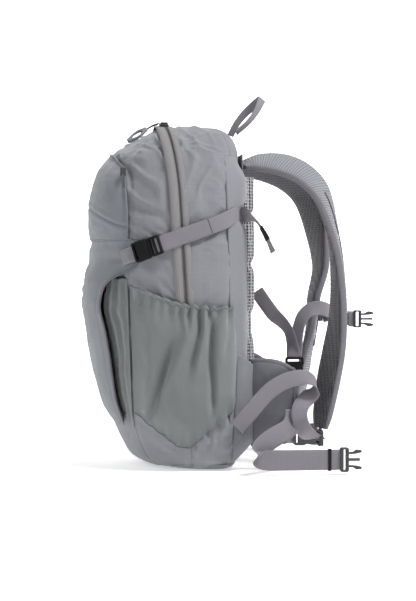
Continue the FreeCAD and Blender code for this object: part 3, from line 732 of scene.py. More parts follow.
# Base tray with its rounded edge
rings = []
for z, inset in ((7.5, 0.0), (5.0, 0.0), (3.0, 0.0), (1.4, 0.0), (0.5, 0.0), (0.15, 6.0), (0.0, 14.0), (0.0, 30.0)):
    row = []
    for c in np.linspace(0, 34, 120, endpoint=False):
        p = bag(c, max(z, 0.15))
        k = 1 - inset / 95.0
        row.append(np.array([-8.0 + (p[0] + 8.0) * k, p[1] * k, z]))
    rings.append(row)
verts = np.array(rings).reshape(-1, 3)
around = len(rings[0])
faces = grid_faces(len(rings), around, closed=True)
faces.append(tuple(range((len(rings) - 1) * around, len(rings) * around)))
obj = make("base_cloth_tray", verts, faces, BASE, "pack", uv=uv_of(verts, 0, 1),
           replaces=["base_panel"])
recalc(obj)

# Top cap behind the zip
row = [bag(c, TOP_Z) for c in np.linspace(ZIP_C, -ZIP_C, 40)]
mid = np.array([-14.0, 0.0, 434.0])
verts = row + [p * 0.5 + mid * 0.5 + np.array([0, 0, 0.35]) for p in row] + [mid + np.array([0, 0, 0.3])]
faces = grid_faces(2, 40)
faces += [(40 + j, 40 + j + 1, 80) for j in range(39)]
obj = make("top_cloth", verts, faces, MAIN, "pack", uv=uv_of(verts, 0, 1),
           replaces=["top_panel"])
recalc(obj)

# ---------------------------------------------------------------- lid
def lid_disp(cc, z, p, seed):
    o = soft(p, seed) * min(1.0, abs(cc - 8.0) / 0.9)
    o *= 1 - step(408.0, 430.0, z) * 0.8
    if cc > 10.6:
        o -= 1.2
    return o


zs_lid = list(np.arange(287.4, 396.0, 2.6)) + list(np.arange(396.0, TOP_Z, 1.2)) + [TOP_Z]
g = shell(np.linspace(ZIP_C, 2 * LAST - ZIP_C, 190), zs_lid, disp=lid_disp, seed=2.0) + LID_SHIFT
cloth("lid_cloth", g, MAIN, "lid", 1.4, replaces=["lid_panel"])
row = [bag(c, TOP_Z) + LID_SHIFT for c in np.linspace(ZIP_C, 2 * LAST - ZIP_C, 30)]
verts = row + [np.mean(row, axis=0) + np.array([0, 0, 0.4])]
faces = [(j, j + 1, 30) for j in range(29)]
obj = make("lid_top_cloth", verts, faces, MAIN, "lid", uv=uv_of(verts, 0, 1))
recalc(obj)

# Front top pocket, from the lid's lower edge to its arched top seam
POCKET_EDGE = 10.95
POCKET_COLS = np.linspace(POCKET_EDGE, 2 * LAST - POCKET_EDGE, 130)
rows_n = 70


def pocket_top(c):
    return 376.0 + 20.0 * math.sin((c - POCKET_EDGE) / 6.05 * math.pi / 2) ** 0.8


g = np.zeros((rows_n, len(POCKET_COLS), 3))
for j, c in enumerate(POCKET_COLS):
    top = pocket_top(near_col(c))
    for i in range(rows_n):
        g[i, j] = bag(c, 288.5 + (top - 288.5) * i / (rows_n - 1))
n = grid_normals(g)
for j, c in enumerate(POCKET_COLS):
    cc = near_col(c)
    for i in range(rows_n):
        p = g[i, j].copy()
        edge = min((cc - POCKET_EDGE) * 16.0, i * 1.5 + 3.0, (rows_n - 1 - i) * 1.5)
        o = 1.4 + 2.6 * step(0.0, 22.0, edge)
        o += fbm(p, 0.016, 9.0, 2) * 2.0 * step(0, 20, edge) + fbm((p[0], p[1] * 0.6, p[2] * 1.4), 0.06, 4.0, 3) * 0.7
        # A seam crosses the pocket, with a soft fold above it
        d = p[2] - (304.0 + 27.0 * step(SEAM_C, LAST, cc))
        o += -1.5 * bump(d, 0, 1.6) + 0.7 * bump(d, 4.5, 3.0)
        o += 0.5 * bump(d, -5.0, 3.5)
        fold = p[2] - (352.0 + 0.10 * p[1])
        o -= 0.9 * bump(fold, 0.0, 7.0)
        g[i, j] = p + n[i, j] * o + LID_SHIFT
cloth("top_pocket_cloth", g, FRONT_SHADED, "lid", 1.2, replaces=["top_pocket_panel"])

# Piping up the top pocket's sides and over its arch
line = [on_bag(c, pocket_top(c) + 0.6, 2.0) for c in np.linspace(POCKET_EDGE, LAST, 40)]
left_seam = [on_bag(POCKET_EDGE, z, 1.8) for z in np.linspace(289, 374, 30)]
loop = left_seam + line + [p * OTHER_SIDE for p in reversed(left_seam + line[:-1])]
verts, faces = tube([p + LID_SHIFT for p in loop], 0.8, 8)
obj = make("top_pocket_piping", verts, faces, FRONT_SHADED, "lid", uv=uv_line(verts, 2))

# ---------------------------------------------------------------- zip
def zip_path(lo):
    # Up one side from height lo, over the top and down the other: points and normals
    zs = list(np.arange(lo, 425.0, 6.0)) + [425.0, 429.0, 431.5, 433.0]
    pts = [bag(ZIP_C, z) for z in zs]
    nrm = [unit(bag_normal(ZIP_C, z) * np.array([0.15, 1, 1])) for z in zs]
    return (pts + [np.array([-44.0, 0.0, 434.2])] + [p * OTHER_SIDE for p in reversed(pts)],
            nrm + [Z_DIR] + [q * OTHER_SIDE for q in reversed(nrm)])


def zip_tape(name, lo, body, inner, outer, replaces):
    off = 1.3
    p, total = spline(np.hstack(zip_path(lo)), 260)
    verts, uv = [], []
    for i in range(len(p)):
        t = tangent(p, i)
        f = unit(p[i, 3:])
        a = unit(np.cross(t, f))
        if a[0] < 0:
            a = -a
        f = unit(np.cross(a, t))
        if f @ p[i, 3:] < 0:
            f = -f
        for x, h in ((inner, off - 0.6), (inner, off), ((inner + outer) / 2, off + 0.25), (outer, off - 0.1),
                     (outer, off - 1.2)):
            verts.append(p[i, :3] + a * x + f * h)
            uv.append((x * MM, total * i / 259 * MM))
    recalc(make(name, verts, grid_faces(len(p), 5), TAPE, body, uv=uv, replaces=replaces))


zip_tape("rear_zip_tape", 190.0, "pack", 0.8, 9.0, ["main_zip_rear_tape"])
zip_tape("front_zip_tape", 288.0, "lid", -0.8, -13.0, ["main_zip_front_tape"])
for side, tag in SIDES:
    pts = []
    for z in np.arange(190.0, 287.5, 3.0):
        q = bag(ZIP_C, z)
        f = bag_normal(ZIP_C, z)
        a = unit(np.cross((0, 0, 1), f))
        a = a if a[0] > 0 else -a
        for x, h in ((-0.8, 0.6), (-0.8, 1.0), (-6.5, 1.15), (-13.0, 1.0), (-13.0, 0.1)):
            pts.append((q + a * x + f * h) * np.array([1, -side, 1]))
    rows = len(pts) // 5
    obj = make("lower_zip_tape_" + tag, pts, grid_faces(rows, 5), TAPE, "pack",
               uv=[((k % 5) * 0.002, v[2] * MM) for k, v in enumerate(pts)],
               replaces=["main_zip_lower_ends"] if side < 0 else [])
    recalc(obj)


def coil(line):
    # The zip's teeth, 1.5 mm apart, laid left and right in turn along points with normals
    p, _ = spline(line, int(spline(line, 8)[1] / 1.5))
    parts = []
    for i in range(1, len(p) - 1):
        t = unit(p[i + 1, :3] - p[i - 1, :3])
        f = unit(p[i, 3:] - t * (p[i, 3:] @ t))
        a = np.cross(t, f)
        c = p[i, :3] + f * (1.5 + 0.15 * (i % 2)) + a * (0.7 if i % 2 else -0.7)
        w, h, d = a * 1.2, f * 0.5, t * 0.4
        corner = [c - w - h - d, c + w - h - d, c + w * 0.8 + h - d * 0.6, c - w * 0.8 + h - d * 0.6,
                  c - w - h + d, c + w - h + d, c + w * 0.8 + h + d * 0.6, c - w * 0.8 + h + d * 0.6]
        parts.append((corner, [(0, 3, 2, 1), (4, 5, 6, 7), (0, 1, 5, 4), (1, 2, 6, 5), (2, 3, 7, 6), (3, 0, 4, 7)]))
    return join(parts)


verts, faces = coil(np.hstack(zip_path(289.0)))
make("zip_coil_lid", verts, faces, COIL, "lid", uv=uv_of(verts, 0, 2), smooth_it=False)
zs = list(np.arange(192.0, LID_Z, 5.0)) + [LID_Z]
verts, faces = coil(np.hstack([[bag(ZIP_C, z) for z in zs], [bag_normal(ZIP_C, z) for z in zs]]))
verts, faces = join([(verts, faces), mirrored(verts, faces)])
make("zip_coil_lower", verts, faces, COIL, "pack", uv=uv_of(verts, 0, 2), smooth_it=False)

# ---------------------------------------------------------------- stash flap and gussets
FLAP_COLS = np.linspace(-1, 1, 91)
FLAP_ROWS = list(np.arange(54.0, LID_Z, 3.0)) + [LID_Z]
g = np.zeros((len(FLAP_ROWS), len(FLAP_COLS), 3))
for i, z in enumerate(FLAP_ROWS):
    xf = smooth(FLAP_FRONT, z)
    xe, ye = smooth(FLAP_EDGE, z, 1), smooth(FLAP_EDGE, z, 2)
    b = step(236.0, 268.0, z)
    for j, s in enumerate(FLAP_COLS):
        a = abs(s)
        side = -1 if s < 0 else 1
        bulge = np.array([xf + (xe - xf) * a ** 2.5, ye * a * side, z])
        hug = on_bag(17.0 - 6.5 * a ** 0.9, z, 3.2 - 1.8 * step(270.0, 286.0, z), side)
        hug[2] = z
        g[i, j] = bulge * (1 - b) + hug * b
n = grid_normals(g)
for i, z in enumerate(FLAP_ROWS):
    for j, s in enumerate(FLAP_COLS):
        p = g[i, j].copy()
        folds = creases((p[1] + p[0], p[1], p[2]), 8.0, 0.06, 6.0) * 3.6
        o = fbm(p, 0.014, 2.0, 2) * 2.2 + folds + fbm(p, 0.06, 6.0, 3) * 0.5
        o -= 2.4 * bump(z, 268.0 - 6.0 * abs(s), 4.0) * step(0.3, 0.8, abs(s))
        o *= step(0.0, 0.12, 1 - abs(s)) * 0.8 + 0.2
        hem = (1 - abs(s)) * 66.0
        o += -0.8 * bump(hem, 7.0, 1.2)
        o += -0.8 * bump(z, 280.0, 1.4)
        g[i, j] = p + n[i, j] * o
flap = cloth("stash_flap_cloth", g, FRONT_SHADED, "pack", 1.5, replaces=["stash_flap"])
top_line = [p + np.array([-0.3, 0, 0.8]) for p in g[-1][2:-2:2]]
verts, faces = tube(top_line, 1.1, 8)
make("flap_top_seam", verts, faces, FRONT_SHADED, "pack", uv=uv_of(verts, 1, 2))
edge_pts = {-1: g[:, 0], 1: g[:, -1]}
for side, tag in SIDES:
    verts, faces = tube(edge_pts[side] - np.array([0.2, 0, 0]), 1.25, 8)
    make("flap_binding_" + tag, verts, faces, PIPING, "pack", uv=uv_line(verts, 2))

for side, tag in SIDES:
    rows = list(np.arange(52.0, 242.0, 2.5))
    g = np.zeros((len(rows), 46, 3))
    for i, z in enumerate(rows):
        zz = max(z, 54.0)
        xe, ye = smooth(FLAP_EDGE, min(zz, 225.0), 1), smooth(FLAP_EDGE, min(zz, 225.0), 2)
        front = np.array([xe + 5.0, -(ye - 13.0), z])
        rear = on_bag(11.15, z, 1.6, -1)
        for j in range(46):
            t = j / 45
            p = front * (1 - t) + rear * t
            hollow = math.sin(t * math.pi)
            out = unit(np.array([-0.6, -0.8, 0]))
            gather = math.sin(t * 15.0 + 1.8 * fbm((z, t * 20, 0), 0.02, 3.0) + z * 0.014)
            o = 0.6 * hollow
            o += 3.6 * gather * hollow * (0.5 + 0.5 * step(60, 240, z))
            o += fbm(p, 0.05, 3.0 + side, 2) * 1.0 * hollow
            p = p + out * o
            p[1] *= -side
            g[i, j] = p
    obj = cloth("stash_gusset_cloth_" + tag, g, STRETCH, "pack", 0.8, replaces=["stash_gusset_" + tag])

# ---------------------------------------------------------------- side pockets
# Each fold: X at the rim, lean, width, depth, and how far below the rim it starts and ends
POCKET_FOLDS = [
    (-27.0, -0.34, 5.0, -8.5, 40.0, 168.0), (-18.0, -0.30, 7.0, 6.5, 10.0, 120.0), (-12.0, -0.16, 4.0, -6.5, 5.0, 95.0),
    (-4.0, -0.12, 5.5, 4.6, 0.0, 100.0), (4.0, -0.03, 4.0, -8.0, 0.0, 150.0), (12.0, -0.10, 6.0, 4.2, -5.0, 90.0),
    (21.0, -0.06, 4.5, -2.6, -5.0, 80.0), (-52.0, -0.10, 7.0, -4.5, 60.0, 150.0), (-62.0, -0.05, 8.0, 3.6, 50.0, 150.0),
]
for side, tag in SIDES:
    cols = np.linspace(4.75, 10.95, 150)
    rows_n = 76
    base = np.zeros((rows_n, len(cols), 3))
    for j, c in enumerate(cols):
        rim, foot = smooth(POCKET_RIM, c), smooth(POCKET_FOOT, c)
        for i in range(rows_n):
            base[i, j] = bag(c, foot + (rim - foot) * i / (rows_n - 1), -1)
    n = grid_normals(base)
    g = base.copy()
    seed = 0.0 if side < 0 else 11.0
    for j, c in enumerate(cols):
        for i in range(rows_n):
            v = i / (rows_n - 1)
            p = base[i, j]
            x, z = p[0], p[2]
            edge = min((c - 4.75) / 1.2, (10.95 - c) / 1.2, v / 0.22, 1.0)
            o = 1.8 + 9.0 * step(0, 1, edge)
            o -= 5.5 * step(0.72, 1.0, v) * step(0, 1, min(1.0, (c - 4.75) / 0.8, (10.95 - c) / 0.8))
            # Gathers at the elastic rim, strongest towards the back
            gather = step(0.55, 1.0, v) * (0.3 + 0.7 * step(-50.0, -20.0, x)) * step(0, 0.4, min(c - 4.75, 10.95 - c))
            wave = math.sin(x * 0.57 + 1.2 * fbm((x, 0, z), 0.03, 1.0 + seed) + 0.3 * math.sin(x * 0.21))
            o += 3.4 * gather * wave * step(0.7, 1.0, v)
            # Long pulled folds that fan out from the rim
            down = 204.0 - z
            for rim_x, slope, wide, depth, lo, hi in POCKET_FOLDS:
                ends = step(lo - 12.0, lo + 25.0, down) * (1 - step(hi - 45.0, hi, down))
                centre = rim_x + slope * down + 2.5 * math.sin(down * 0.03 + rim_x)
                o += depth * bump(x, centre, wide) * ends * step(0, 0.6, edge)
            o += fbm((x, p[1], z * 0.6), 0.022, 8.0 + seed, 3) * 3.4 * step(0, 1, edge)
            # Puckers along the foot seam
            o += 1.1 * math.sin(x * 0.5 + 2.0 * fbm(p, 0.02, seed)) * (1 - step(0.0, 0.2, v))
            q = p + n[i, j] * max(o, 1.0)
            q[2] += 1.8 * wave * step(0.86, 1.0, v) * gather
            q[1] *= -side
            g[i, j] = q
    obj = cloth("side_pocket_cloth_" + tag, g, STRETCH, "pack", 0.9, replaces=["side_pocket_" + tag])
    rim = g[-1] + np.array([0, 0, -0.8])
    verts, faces = tube(rim, 1.1, 8, flat=1.8, up=(0, 0, 1))
    make("pocket_elastic_" + tag, verts, faces, STRETCH, "pack", uv=uv_of(verts, 2, 0))
    line = [on_bag(11.0, z, 3.4, side) for z in np.arange(66.0, 232.0, 4.0)]
    verts, faces = tube(line, 0.75, 8)
    make("pocket_front_seam_" + tag, verts, faces, THREAD, "pack", uv=uv_line(verts, 2))
    verts, faces = tube(g[0], 0.9, 8)
    make("pocket_foot_seam_" + tag, verts, faces, STRETCH, "pack", uv=uv_line(verts, 0))

# ---------------------------------------------------------------- compression straps
def comp_frame():
    # The buckle's seat beside the flap: origin, and directions along the strap, outward and across it
    s0, s1 = bag(10.55, 270.0), bag(8.8, 284.0)
    along = unit(s1 - s0)
    out = unit(np.array([along[1], -along[0], 0]))
    out = out if out[1] < 0 else -out
    up = np.cross(out, along)
    return s0 + out * 6.0, along, out, up


def rounded_box(x0, x1, y0, y1, z0, z1, r):
    bm = bmesh.new()
    bmesh.ops.create_cube(bm, size=1.0)
    for v in bm.verts:
        v.co = Vector((x0 + (v.co.x + 0.5) * (x1 - x0), y0 + (v.co.y + 0.5) * (y1 - y0),
                       z0 + (v.co.z + 0.5) * (z1 - z0)))
    bmesh.ops.bevel(bm, geom=list(bm.edges), offset=r, segments=3, affect="EDGES", profile=0.5)
    verts = [tuple(v.co) for v in bm.verts]
    bm.verts.index_update()
    faces = [tuple(v.index for v in f.verts) for f in bm.faces]
    bm.free()
    return np.array(verts), faces


def box_pair(x0, x1, y0, y1, z0, z1, r):
    return [rounded_box(x0, x1, y0, y1, z0, z1, r), rounded_box(x0, x1, -y1, -y0, z0, z1, r)]


def both_halves(half):
    # A closed outline from the half with negative Y
    return half + [(x, -y) for x, y in reversed(half)]


def outline_plate(outer, holes, h0, h1, r):
    # Flat plate from an outline with holes, thickness along Z, edges rounded by a bevel
    curve = bpy.data.curves.new("outline", "CURVE")
    curve.dimensions = "2D"
    curve.fill_mode = "BOTH"
    for pts in [outer] + list(holes):
        sp = curve.splines.new("POLY")
        sp.points.add(len(pts) - 1)
        for k, (x, y) in enumerate(pts):
            sp.points[k].co = (x, y, 0, 1)
        sp.use_cyclic_u = True
    curve.extrude = max((h1 - h0) / 2 - r, 0.05)
    curve.bevel_depth = r
    curve.bevel_resolution = 2
    curve.offset = -r
    obj = bpy.data.objects.new("outline", curve)
    bpy.context.scene.collection.objects.link(obj)
    deps = bpy.context.evaluated_depsgraph_get()
    mesh = bpy.data.meshes.new_from_object(obj.evaluated_get(deps))
    verts = np.array([tuple(v.co) for v in mesh.vertices])
    verts[:, 2] += (h0 + h1) / 2
    faces = [tuple(p.vertices) for p in mesh.polygons]
    bpy.data.objects.remove(obj)
    bpy.data.meshes.remove(mesh)
    bpy.data.curves.remove(curve)
    return verts, faces


def rr(x0, x1, y0, y1, r, n=4):
    pts = []
    for cx, cy, a0 in ((x1 - r, y1 - r, 0), (x0 + r, y1 - r, 90), (x0 + r, y0 + r, 180), (x1 - r, y0 + r, 270)):
        for k in range(n + 1):
            a = math.radians(a0 + 90 * k / n)
            pts.append((cx + r * math.cos(a), cy + r * math.sin(a)))
    return pts


def hard(name, parts, origin, xdir, ydir, zdir, mat, body, side=-1, replaces=(), slot="black_plastic"):
    verts, faces = join(parts)
    m = np.stack([xdir, ydir, zdir])
    verts = verts @ m + np.asarray(origin)
    if side > 0:
        verts, faces = mirrored(verts, faces)
    obj = make(name, verts, faces, mat, body, replaces=replaces)
    for poly in obj.data.polygons:
        poly.use_smooth = True
    recalc(obj)
    bpy.context.view_layer.objects.active = obj
    mod = obj.modifiers.new("weighted", "WEIGHTED_NORMAL")
    mod.keep_sharp = True
    return obj


for side, tag in SIDES:
    seat, along, out, up = comp_frame()
    body_outline = both_halves([(0, -11), (1.5, -12.4), (8, -12.6), (12, -11.4), (16, -11.9), (20, -12.2)])
    parts = [outline_plate(body_outline, [rr(2.6, 5.4, -9.5, 9.5, 1.0)], 0.3, 2.6, 0.5),
             outline_plate(body_outline, [rr(2.6, 5.4, -9.5, 9.5, 1.0)], 5.4, 8.0, 0.6),
             rounded_box(0.4, 2.0, -11.5, 11.5, 1.0, 7.0, 0.5), rounded_box(6.4, 9.0, -9.8, 9.8, 1.5, 6.5, 0.5),
             *box_pair(17.0, 20.0, 8.8, 12.0, 1.0, 7.0, 0.6), *box_pair(6.5, 18.5, 11.0, 12.4, 2.0, 6.0, 0.5)]
    hard("compression_socket_part_" + tag, parts, seat, along, up, out, BLACK, "pack", side,
         ["compression_socket_" + tag])
    plug_outline = both_halves([(20.5, -11.0), (24, -12.0), (34, -12.0), (37.6, -11.0)])
    slots = [rr(24.5, 28.0, -9.7, 9.7, 1.0), rr(31.0, 34.4, -9.7, 9.7, 1.0)]
    parts = [outline_plate(plug_outline, slots, 1.2, 7.2, 0.9), *box_pair(10.5, 21.5, 5.6, 8.8, 2.6, 5.4, 0.7),
             rounded_box(12.0, 21.5, -1.2, 1.2, 2.8, 5.2, 0.5)]
    hard("compression_plug_part_" + tag, parts, seat, along, up, out, BLACK, "compression_buckle_" + tag, side,
         ["compression_plug_" + tag])
    # Flap tab: a folded tape through the socket's slot
    tab = [on_bag(11.5, 264.0, 5.4), on_bag(11.1, 265.8, 6.2), on_bag(10.8, 267.6, 7.2), seat + along * 3.5 + out * 1.0]
    faces_dir = [bag_normal(11.5, 264.0), bag_normal(11.1, 265.8), bag_normal(10.8, 267.6), out]
    acr = [np.cross(f, along) for f in faces_dir]
    webbing("flap_tab_web_" + tag, tab, 19.0, 1.5, acr, WEBBING, "pack", 24, side, ["flap_tab_" + tag])
    # Webbing from the plug round the side to the back panel, then its free tail
    pts = [seat + along * 29.8 + out * 5.2, seat + along * 34.0 + out * 4.4, seat + along * 39.5 + out * 1.6]
    acr = [up, up, up]
    for c, z, off in ((8.35, 288.0, 4.2), (8.0, 291.0, 3.8), (7.4, 296.0, 3.2), (6.6, 303.0, 2.8), (6.0, 308.5, 2.4),
                      (5.4, 314.0, 2.4), (4.8, 317.8, 3.0), (4.2, 319.0, 3.8)):
        pts.append(on_bag(c, z, off))
        acr.append(unit(np.array([-0.36 if c > 5.5 else -0.1, 0.0, 1.0])))
    turn = [(50.0, -98.0, 317.8), (55.5, -103.0, 315.0), (61.0, -107.0, 309.5), (67.0, -110.0, 300.5),
            (73.0, -112.0, 289.0), (80.5, -114.0, 271.5)]
    pts += [np.array(p) for p in turn]
    acr += [unit(np.array(a)) for a in ((-0.1, -0.45, 0.9), (-0.1, -0.85, 0.4), (-0.06, -1.0, 0.1), (-0.02, -1.0, 0.06),
                                        (0.05, -1.0, 0.08), (0.18, -1.0, 0.14))]
    width = [20.0] * 11 + [19.0, 17.0, 17.0, 18.0, 19.0, 19.0]
    obj, fr = webbing("compression_web_" + tag, pts, width, 1.5, acr, WEBBING, None, 150, side,
                      ["compression_webbing_" + tag])
    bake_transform(obj)
    # A dark keeper on the tail, and the sewn keeper line on the side
    keeper = fr[-26:-12]
    webbing("compression_tail_hem_" + tag, [f[0] for f in keeper], 20.0, 3.4, [f[2] for f in keeper], BLACK, "pack",
            16, side)
    q, t, a, f = fr[52][:4]
    bar = [rounded_box(-0.5, 0.5, -9.6, 9.6, -1.15, 1.15, 0.3)]
    hard("compression_keeper_line_" + tag, bar, q, t, a, f, THREAD, "pack", side, slot="webbing")

# ---------------------------------------------------------------- back pads
def pad_mesh(name, x0, x1, half_y, z0, z1):
    # A crowned cushion whose sides pull in between its corners, flat at X = x0
    bm = bmesh.new()
    bmesh.ops.create_grid(bm, x_segments=44, y_segments=28, size=1.0)
    cz, hz = (z0 + z1) / 2, (z1 - z0) / 2
    for v in bm.verts:
        y, z = v.co.x, v.co.y
        sq = math.sqrt(max(0.0, 1 - 0.5 * z * z)), math.sqrt(max(0.0, 1 - 0.5 * y * y))
        yy = y * (0.72 * sq[0] + 0.28)
        zz = z * (0.72 * sq[1] + 0.28)
        edge = max(abs(y), abs(z))
        e = max(0.0, 1 - edge ** 3.2) ** 0.5
        v.co = Vector(((x0 + (x1 - x0) * (0.12 + 0.88 * e)) * MM, yy * half_y * MM, (cz + zz * hz) * MM))
    ret = bmesh.ops.extrude_face_region(bm, geom=list(bm.faces))
    for v in [v for v in ret["geom"] if isinstance(v, bmesh.types.BMVert)]:
        v.co.x = x0 * MM
    bmesh.ops.recalc_face_normals(bm, faces=bm.faces)
    mesh = bpy.data.meshes.new(name)
    bm.to_mesh(mesh)
    bm.free()
    obj = bpy.data.objects.new(name, mesh)
    bpy.context.scene.collection.objects.link(obj)
    return obj


def apply_all(obj):
    deps = bpy.context.evaluated_depsgraph_get()
    mesh = bpy.data.meshes.new_from_object(obj.evaluated_get(deps))
    obj.modifiers.clear()
    obj.data = mesh


def inflate(obj, cap):
    # Cloth under pressure, with each point's travel held to the cap
    rem = obj.modifiers.new("remesh", "REMESH")
    rem.mode = "VOXEL"
    rem.voxel_size = 0.005
    apply_all(obj)
    start = [v.co.copy() for v in obj.data.vertices]
    c = obj.modifiers.new("cloth", "CLOTH")
    c.settings.quality = 5
    c.settings.use_pressure = True
    c.settings.uniform_pressure_force = 4.0
    c.settings.effector_weights.gravity = 0.0
    c.settings.tension_stiffness = 20
    c.settings.compression_stiffness = 20
    c.settings.bending_stiffness = 2
    c.point_cache.frame_start = 1
    c.point_cache.frame_end = 20
    for f in range(1, 21):
        bpy.context.scene.frame_set(f)
    apply_all(obj)
    bpy.context.scene.frame_set(1)
    for v, s in zip(obj.data.vertices, start):
        d = v.co - s
        if d.length > cap:
            v.co = s + d * (cap / d.length)
    for poly in obj.data.polygons:
        poly.use_smooth = True


for name, x0, x1, hy, z0, z1 in (("back_pad_upper", 46.0, 61.0, 68.0, 319.0, 368.0),
                                 ("back_pad_middle", 46.0, 62.0, 73.0, 257.0, 319.0),
                                 ("back_pad_lower", 46.0, 62.0, 75.0, 193.0, 257.0),
                                 ("lumbar_pad", 46.0, 62.0, 78.0, 60.0, 157.0)):
    obj = pad_mesh(name + "_cushion", x0, x1, hy, z0, z1)
    inflate(obj, 0.004)
    for v in obj.data.vertices:
        v.co.x = max(v.co.x, 0.0464)
        # A sewn channel runs up the middle of each pad
        v.co.x -= 0.0035 * math.exp(-(v.co.y / 0.004) ** 2) * (1.0 if v.co.x > 0.055 else 0.0)
    sub = obj.modifiers.new("sub", "SUBSURF")
    sub.levels = 1
    sub.render_levels = 1
    apply_all(obj)
    for poly in obj.data.polygons:
        poly.use_smooth = True
    obj.data.materials.clear()
    obj.data.materials.append(MESH_LIGHT)
    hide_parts(name)
    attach(obj, "pack")


def back_sheet(name, x_of, ys, zs, mat, seed, replaces=None):
    g = np.zeros((len(zs), len(ys), 3))
    for i, z in enumerate(zs):
        for j, y in enumerate(ys):
            g[i, j] = (x_of(y, z) + fbm((y, z, seed), 0.03, seed, 2) * 0.7, y, z)
    return cloth(name, g, mat, "pack", 1.6, replaces=replaces)


def mesh_depth(y, z):
    # Falls into the channels between the cushions and closes down at its edges
    rim = min(1.0, (87.0 - 0.04 * max(0.0, z - 250.0) - abs(y)) / 12.0)
    dip = bump(z, 257.0, 7.0) + bump(z, 193.0, 7.0) + bump(z, 175.0, 14.0) + bump(z, 319.0, 5.0)
    return 47.2 + 15.5 * max(0.0, rim) ** 0.5 - 4.0 * min(1.0, dip)


back_sheet("back_mesh_cloth", mesh_depth, np.linspace(-86.0, 86.0, 64), np.arange(58.0, 368.0, 3.5), MESH_LIGHT,
           4.0)
for side, tag in SIDES:
    rows = list(np.arange(28.0, 396.0, 4.0))
    g = np.zeros((len(rows), 22, 3))
    for i, z in enumerate(rows):
        full = step(392.0, 360.0, z) * step(26.0, 50.0, z) * (1.0 - 0.95 * bump(z, 318.0, 13.0))
        marks = [on_bag(c, z, off, side) for c, off in ((5.5, 0.6), (5.05, 4.0 * full + 0.6), (4.6, 10.0 * full + 0.6),
                                                        (4.1, 11.0 * full + 0.6), (3.5, 1.0))]
        curve, _ = spline(marks, 22)
        for j in range(22):
            g[i, j] = curve[j]
            g[i, j, 0] += 0.8 * fbm(curve[j], 0.03, 6.0 + side, 2) * full
    cloth("back_edge_cloth_" + tag, g if side < 0 else g[:, ::-1], MAIN, "pack", 1.3)
back_sheet("harness_yoke_cloth", lambda y, z: bag(2.0, z)[0] + 2.6 - 1.4 * (abs(y) / 72.0) ** 4,
           np.linspace(-72.0, 72.0, 50), np.arange(363.0, 396.0, 2.5), BACK, 9.0, ["harness_yoke"])

# ---------------------------------------------------------------- shoulder straps
def strap_axes():
    pts = [np.array(p) for p in STRAP_PATH]
    acr = []
    for i in range(len(pts)):
        t = tangent(pts, i)
        side = unit(Y_DIR - t * t[1])
        face = unit(np.cross(t, side))
        a = math.radians(STRAP_ROLL[i])
        acr.append(side * math.cos(a) + face * math.sin(a))
    return pts, acr


def lean(z):
    # The right strap stands a little further out than the left one above its keeper
    return 11.0 * step(205.0, 260.0, z) * (1 - step(345.0, 385.0, z))


def leaning(verts, faces):
    verts, faces = mirrored(verts, faces)
    return [np.array([v[0] + lean(v[2]), v[1], v[2]]) for v in verts], faces


